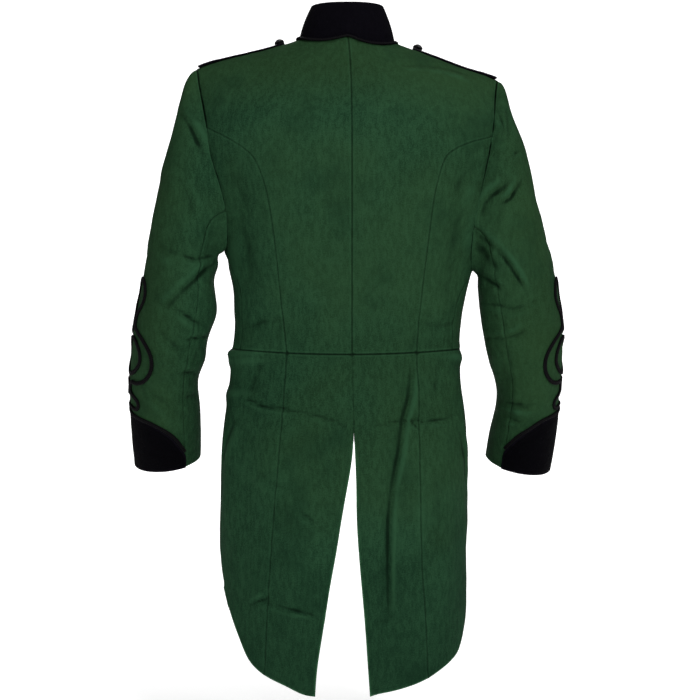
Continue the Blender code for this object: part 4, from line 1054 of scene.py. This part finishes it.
def middleLine(node):
    # the middles of the tube's rings in order, and whether they close into a loop
    bm = mergedCopy(node)
    ring = ringIn(bm)
    middle = middleOf(ring)
    bmesh.ops.delete(bm, geom=ring, context="VERTS")
    ends = [vert for vert in bm.verts if vert.is_boundary]
    one = layersFrom([ends[0]])
    near = {vert for layer in one[:plait["endReach"]] for vert in layer}
    first = [vert for vert in ends if vert in near]
    ahead = layersFrom(first)
    seen = {vert for layer in ahead for vert in layer}
    closed = len(seen) == len(bm.verts)
    behind = [] if closed else layersFrom([vert for vert in ends if vert not in seen])
    before, after = ([middleOf(layer) for layer in layers] for layers in (behind, ahead))
    bm.free()
    line = before[::-1] + [middle] + after
    return np.array([tuple(place) for place in line]), closed


def resampled(line, spacing, closed):
    # Catmull-Rom through the points, then evened by length
    if closed:
        line = np.vstack([line[-1:], line, line[:2]])
    else:
        line = np.vstack([2 * line[:1] - line[1:2], line, 2 * line[-1:] - line[-2:-1]])
    dense = []
    for p0, p1, p2, p3 in zip(line, line[1:], line[2:], line[3:]):
        t = np.linspace(0.0, 1.0, plait["curveSteps"], endpoint=False)[:, None]
        square = (2 * p0 - 5 * p1 + 4 * p2 - p3) * t ** 2
        cube = (3 * p1 - p0 - 3 * p2 + p3) * t ** 3
        dense.append(0.5 * (2 * p1 + (p2 - p0) * t + square + cube))
    dense = np.vstack(dense + [line[-2:-1]])
    gone = np.concatenate([[0.0], np.cumsum(np.linalg.norm(np.diff(dense, axis=0), axis=1))])
    steps = max(plait["fewestSteps"], int(round(gone[-1] / spacing)))
    at = np.linspace(0.0, gone[-1], steps + 1)
    if closed:
        at = at[:-1]
    return np.column_stack([np.interp(at, gone, dense[:, axis]) for axis in range(3)]), at, gone[-1]


def plaited(node, kind, name):
    _, swing, weave, radius = cordKinds[kind]
    line, closed = middleLine(node)
    line, at, whole = resampled(line, plait["pitch"] / plait["stepsPerPitch"], closed)
    if kind == "collar_cord":
        out = np.array([tuple(outwardAt("body", Vector(place))) for place in line])
        line = line - out * plait["sink"]
    else:
        hits = [sleeveSurface[node.split("_")[-1]].find_nearest(Vector(place))[:2] for place in line]
        out = np.array([tuple(normal) for _, normal in hits])
        height = radius + weave / 2 - plait["sinkOnSleeve"]
        line = np.array([tuple(place) for place, _ in hits]) + out * height
        for _ in range(plait["smoothing"]):
            line[1:-1] = (line[:-2] + line[1:-1] * 2 + line[2:]) / 4
    if closed:
        run = np.roll(line, -1, axis=0) - np.roll(line, 1, axis=0)
    else:
        run = np.gradient(line, axis=0)
    run /= np.linalg.norm(run, axis=1)[:, None]
    out -= run * (out * run).sum(axis=1)[:, None]
    out /= np.linalg.norm(out, axis=1)[:, None]
    side = np.cross(run, out)
    turns = max(1, round(whole / plait["pitch"]))
    curve = roundCurve(name, radius)
    curve.use_fill_caps = True
    for strand in range(plait["strands"]):
        phase = 2 * np.pi * (at / whole * turns + strand / plait["strands"])
        path = line + side * (swing * np.sin(phase))[:, None] + out * (weave * np.sin(2 * phase))[:, None]
        addLine(curve, path, closed)
    made = fromCurve(name, curve)
    dressed(made, node, "black_cord", cordBlack)
    print(name, "length", round(float(whole), 3), "closed" if closed else "open")


plaited("collar_cord", "collar_cord", "collarCord")
for side in ("left", "right"):
    for kind in ("cuff_cord_", "sleeve_knot_", "sleeve_leaf_"):
        plaited(kind + side, kind, cordKinds[kind][0] + side.capitalize())
print("cords plaited")

# plain domed button with a raised rim, turned on the axis of its node
button = {
    "profile": ((0.0, 0.0), (0.62, 0.0), (0.90, 0.10), (0.99, 0.24), (1.0, 0.36), (0.97, 0.46),
                (0.90, 0.48), (0.86, 0.47), (0.80, 0.58), (0.66, 0.78), (0.44, 0.92), (0.20, 0.99),
                (0.0, 1.0)),
    "steps": 40,
    "mergeDistance": 1e-6,
}


def areaOf(faces):
    return sum(face.calc_area() for face in faces)


def turnedButton(node, name):
    # the node's flat back gives the seat and the axis
    bm = mergedCopy(node)
    sides = {}
    for face in bm.faces:
        key = tuple(round(part, 1) for part in face.normal)
        sides.setdefault(key, []).append(face)
    base = max(sides.values(), key=areaOf)
    seat = sum((face.calc_center_median() * face.calc_area() for face in base), Vector()) / areaOf(base)
    axis = -sum((face.normal * face.calc_area() for face in base), Vector()).normalized()
    height = max((vert.co - seat).dot(axis) for vert in bm.verts)
    radius = max((vert.co - seat - axis * (vert.co - seat).dot(axis)).length for vert in bm.verts)
    bm.free()
    bm = bmesh.new()
    line = [bm.verts.new((radius * across, 0.0, height * up)) for across, up in button["profile"]]
    for first, second in zip(line, line[1:]):
        bm.edges.new((first, second))
    bmesh.ops.spin(bm, geom=bm.verts[:] + bm.edges[:], cent=(0, 0, 0), axis=(0, 0, 1), angle=2 * math.pi,
                   steps=button["steps"], use_merge=True)
    bmesh.ops.remove_doubles(bm, verts=bm.verts, dist=button["mergeDistance"])
    bmesh.ops.recalc_face_normals(bm, faces=bm.faces)
    turn = axis.to_track_quat("Z", "Y").to_matrix().to_4x4()
    bmesh.ops.transform(bm, matrix=Matrix.Translation(seat) @ turn, verts=bm.verts)
    dressed(newPiece(name, bm), node, "black_button", buttonBlack)
    return seat


seats = [turnedButton("front_button_%d" % number, "frontButton%d" % number) for number in range(1, 8)]
for side in ("left", "right"):
    turnedButton("strap_button_" + side, "strapButton" + side.capitalize())

# worked buttonholes on the left front, each a stitched slit running back from its button
hole = {
    "start": 0.004,
    "length": 0.014,
    "half": 0.0011,
    "thread": 0.00045,
    "lift": 0.0001,
    "steps": 9,
    "before": 0.03,  # how far in front of the button the cloth is looked for
}


def buttonholes():
    surface = surfaceOf("front_left")
    curve = roundCurve("buttonholes", hole["thread"])
    for seat in seats:
        last = hole["steps"] - 1
        steps = [hole["start"] + hole["length"] * step / last for step in range(last + 1)]
        outline = [(x, hole["half"]) for x in steps] + [(x, -hole["half"]) for x in reversed(steps)]
        path = []
        for x, z in outline:
            above = Vector((seat.x + x, seat.y - hole["before"], seat.z + z))
            place, normal, _, _ = surface.ray_cast(above, Vector((0, 1, 0)))
            path.append(tuple(place + normal * hole["lift"]))
        addLine(curve, path, True)
    dressed(fromCurve("buttonholes", curve), None, "green_drill", threadGreen)


buttonholes()
print("buttons and buttonholes made")

studio = {
    "floorHeight": -1.06,
    "floorSize": 6.0,
    "floorPaper": (0.88, 0.50),  # how white, and how much light it gives itself
    "backdropDistance": -4.3,
    "backdropSize": 1.6,
    "backdropPaper": (0.90, 0.80),
    "paperRoughness": 0.9,
    "sky": 0.20,
    "lights": (  # name, place, aimed at, size, watts
        ("keyLight", (-1.05, 2.5, 1.35), (0, 0, -0.30), 0.55, 45.0),
        ("sideLight", (1.5, 2.9, 0.2), (0, 0, -0.45), 0.8, 6.0),
        ("topLight", (-0.3, 0.7, 1.9), (0, 0, -0.1), 0.9, 14.0),
        ("frontLight", (0.5, -2.9, 1.2), (0, 0, -0.4), 1.4, 40.0),
    ),
}
white = (1.0, 1.0, 1.0, 1.0)


def studioPaper(name, finish, size, matrix, colour):
    bm = bmesh.new()
    bmesh.ops.create_grid(bm, x_segments=1, y_segments=1, size=size, matrix=matrix)
    made = newPiece(name, bm)
    paper, shader, _ = newMaterial(finish, studio["paperRoughness"])
    tone, glow = colour
    shader.inputs["Base Color"].default_value = (tone, tone, tone, 1.0)
    shader.inputs["Emission Color"].default_value = white
    shader.inputs["Emission Strength"].default_value = glow
    made.data.materials.append(paper)
    return made


under = Matrix.Translation((0, 0, studio["floorHeight"]))
behind = Matrix.Translation((0, studio["backdropDistance"], 0)) @ Matrix.Rotation(math.radians(-90), 4, "X")
floor = studioPaper("studioFloor", "floorPaper", studio["floorSize"], under, studio["floorPaper"])
backdrop = studioPaper("studioBackdrop", "backdropGlow", studio["backdropSize"], behind,
                       studio["backdropPaper"])


def softLight(name, place, target, size, power):
    lamp = bpy.data.lights.new(name, "AREA")
    lamp.shape = "DISK"
    lamp.size = size
    lamp.energy = power
    holder = bpy.data.objects.new(name, lamp)
    holder.location = place
    holder.rotation_euler = (Vector(target) - Vector(place)).to_track_quat("-Z", "Y").to_euler()
    scene.collection.objects.link(holder)


for row in studio["lights"]:
    softLight(*row)
world = bpy.data.worlds.new("studioWorld")
world.use_nodes = True
sky = world.node_tree.nodes["Background"]
sky.inputs[0].default_value = white
sky.inputs[1].default_value = studio["sky"]
scene.world = world
scene.view_settings.view_transform = "Standard"

# the photograph's view: the lens takes in this half width at this distance
photo = {"place": (-0.003, 2.72, -0.466), "sensor": 36.0, "halfWidth": 0.5075, "distance": 2.6}
view = bpy.data.cameras.new("photoView")
view.sensor_width = photo["sensor"]
view.lens = photo["sensor"] / 2 / (photo["halfWidth"] / photo["distance"])
camera = bpy.data.objects.new("photoView", view)
camera.location = photo["place"]
camera.rotation_euler = (math.radians(90), 0, math.radians(180))
scene.collection.objects.link(camera)
scene.camera = camera
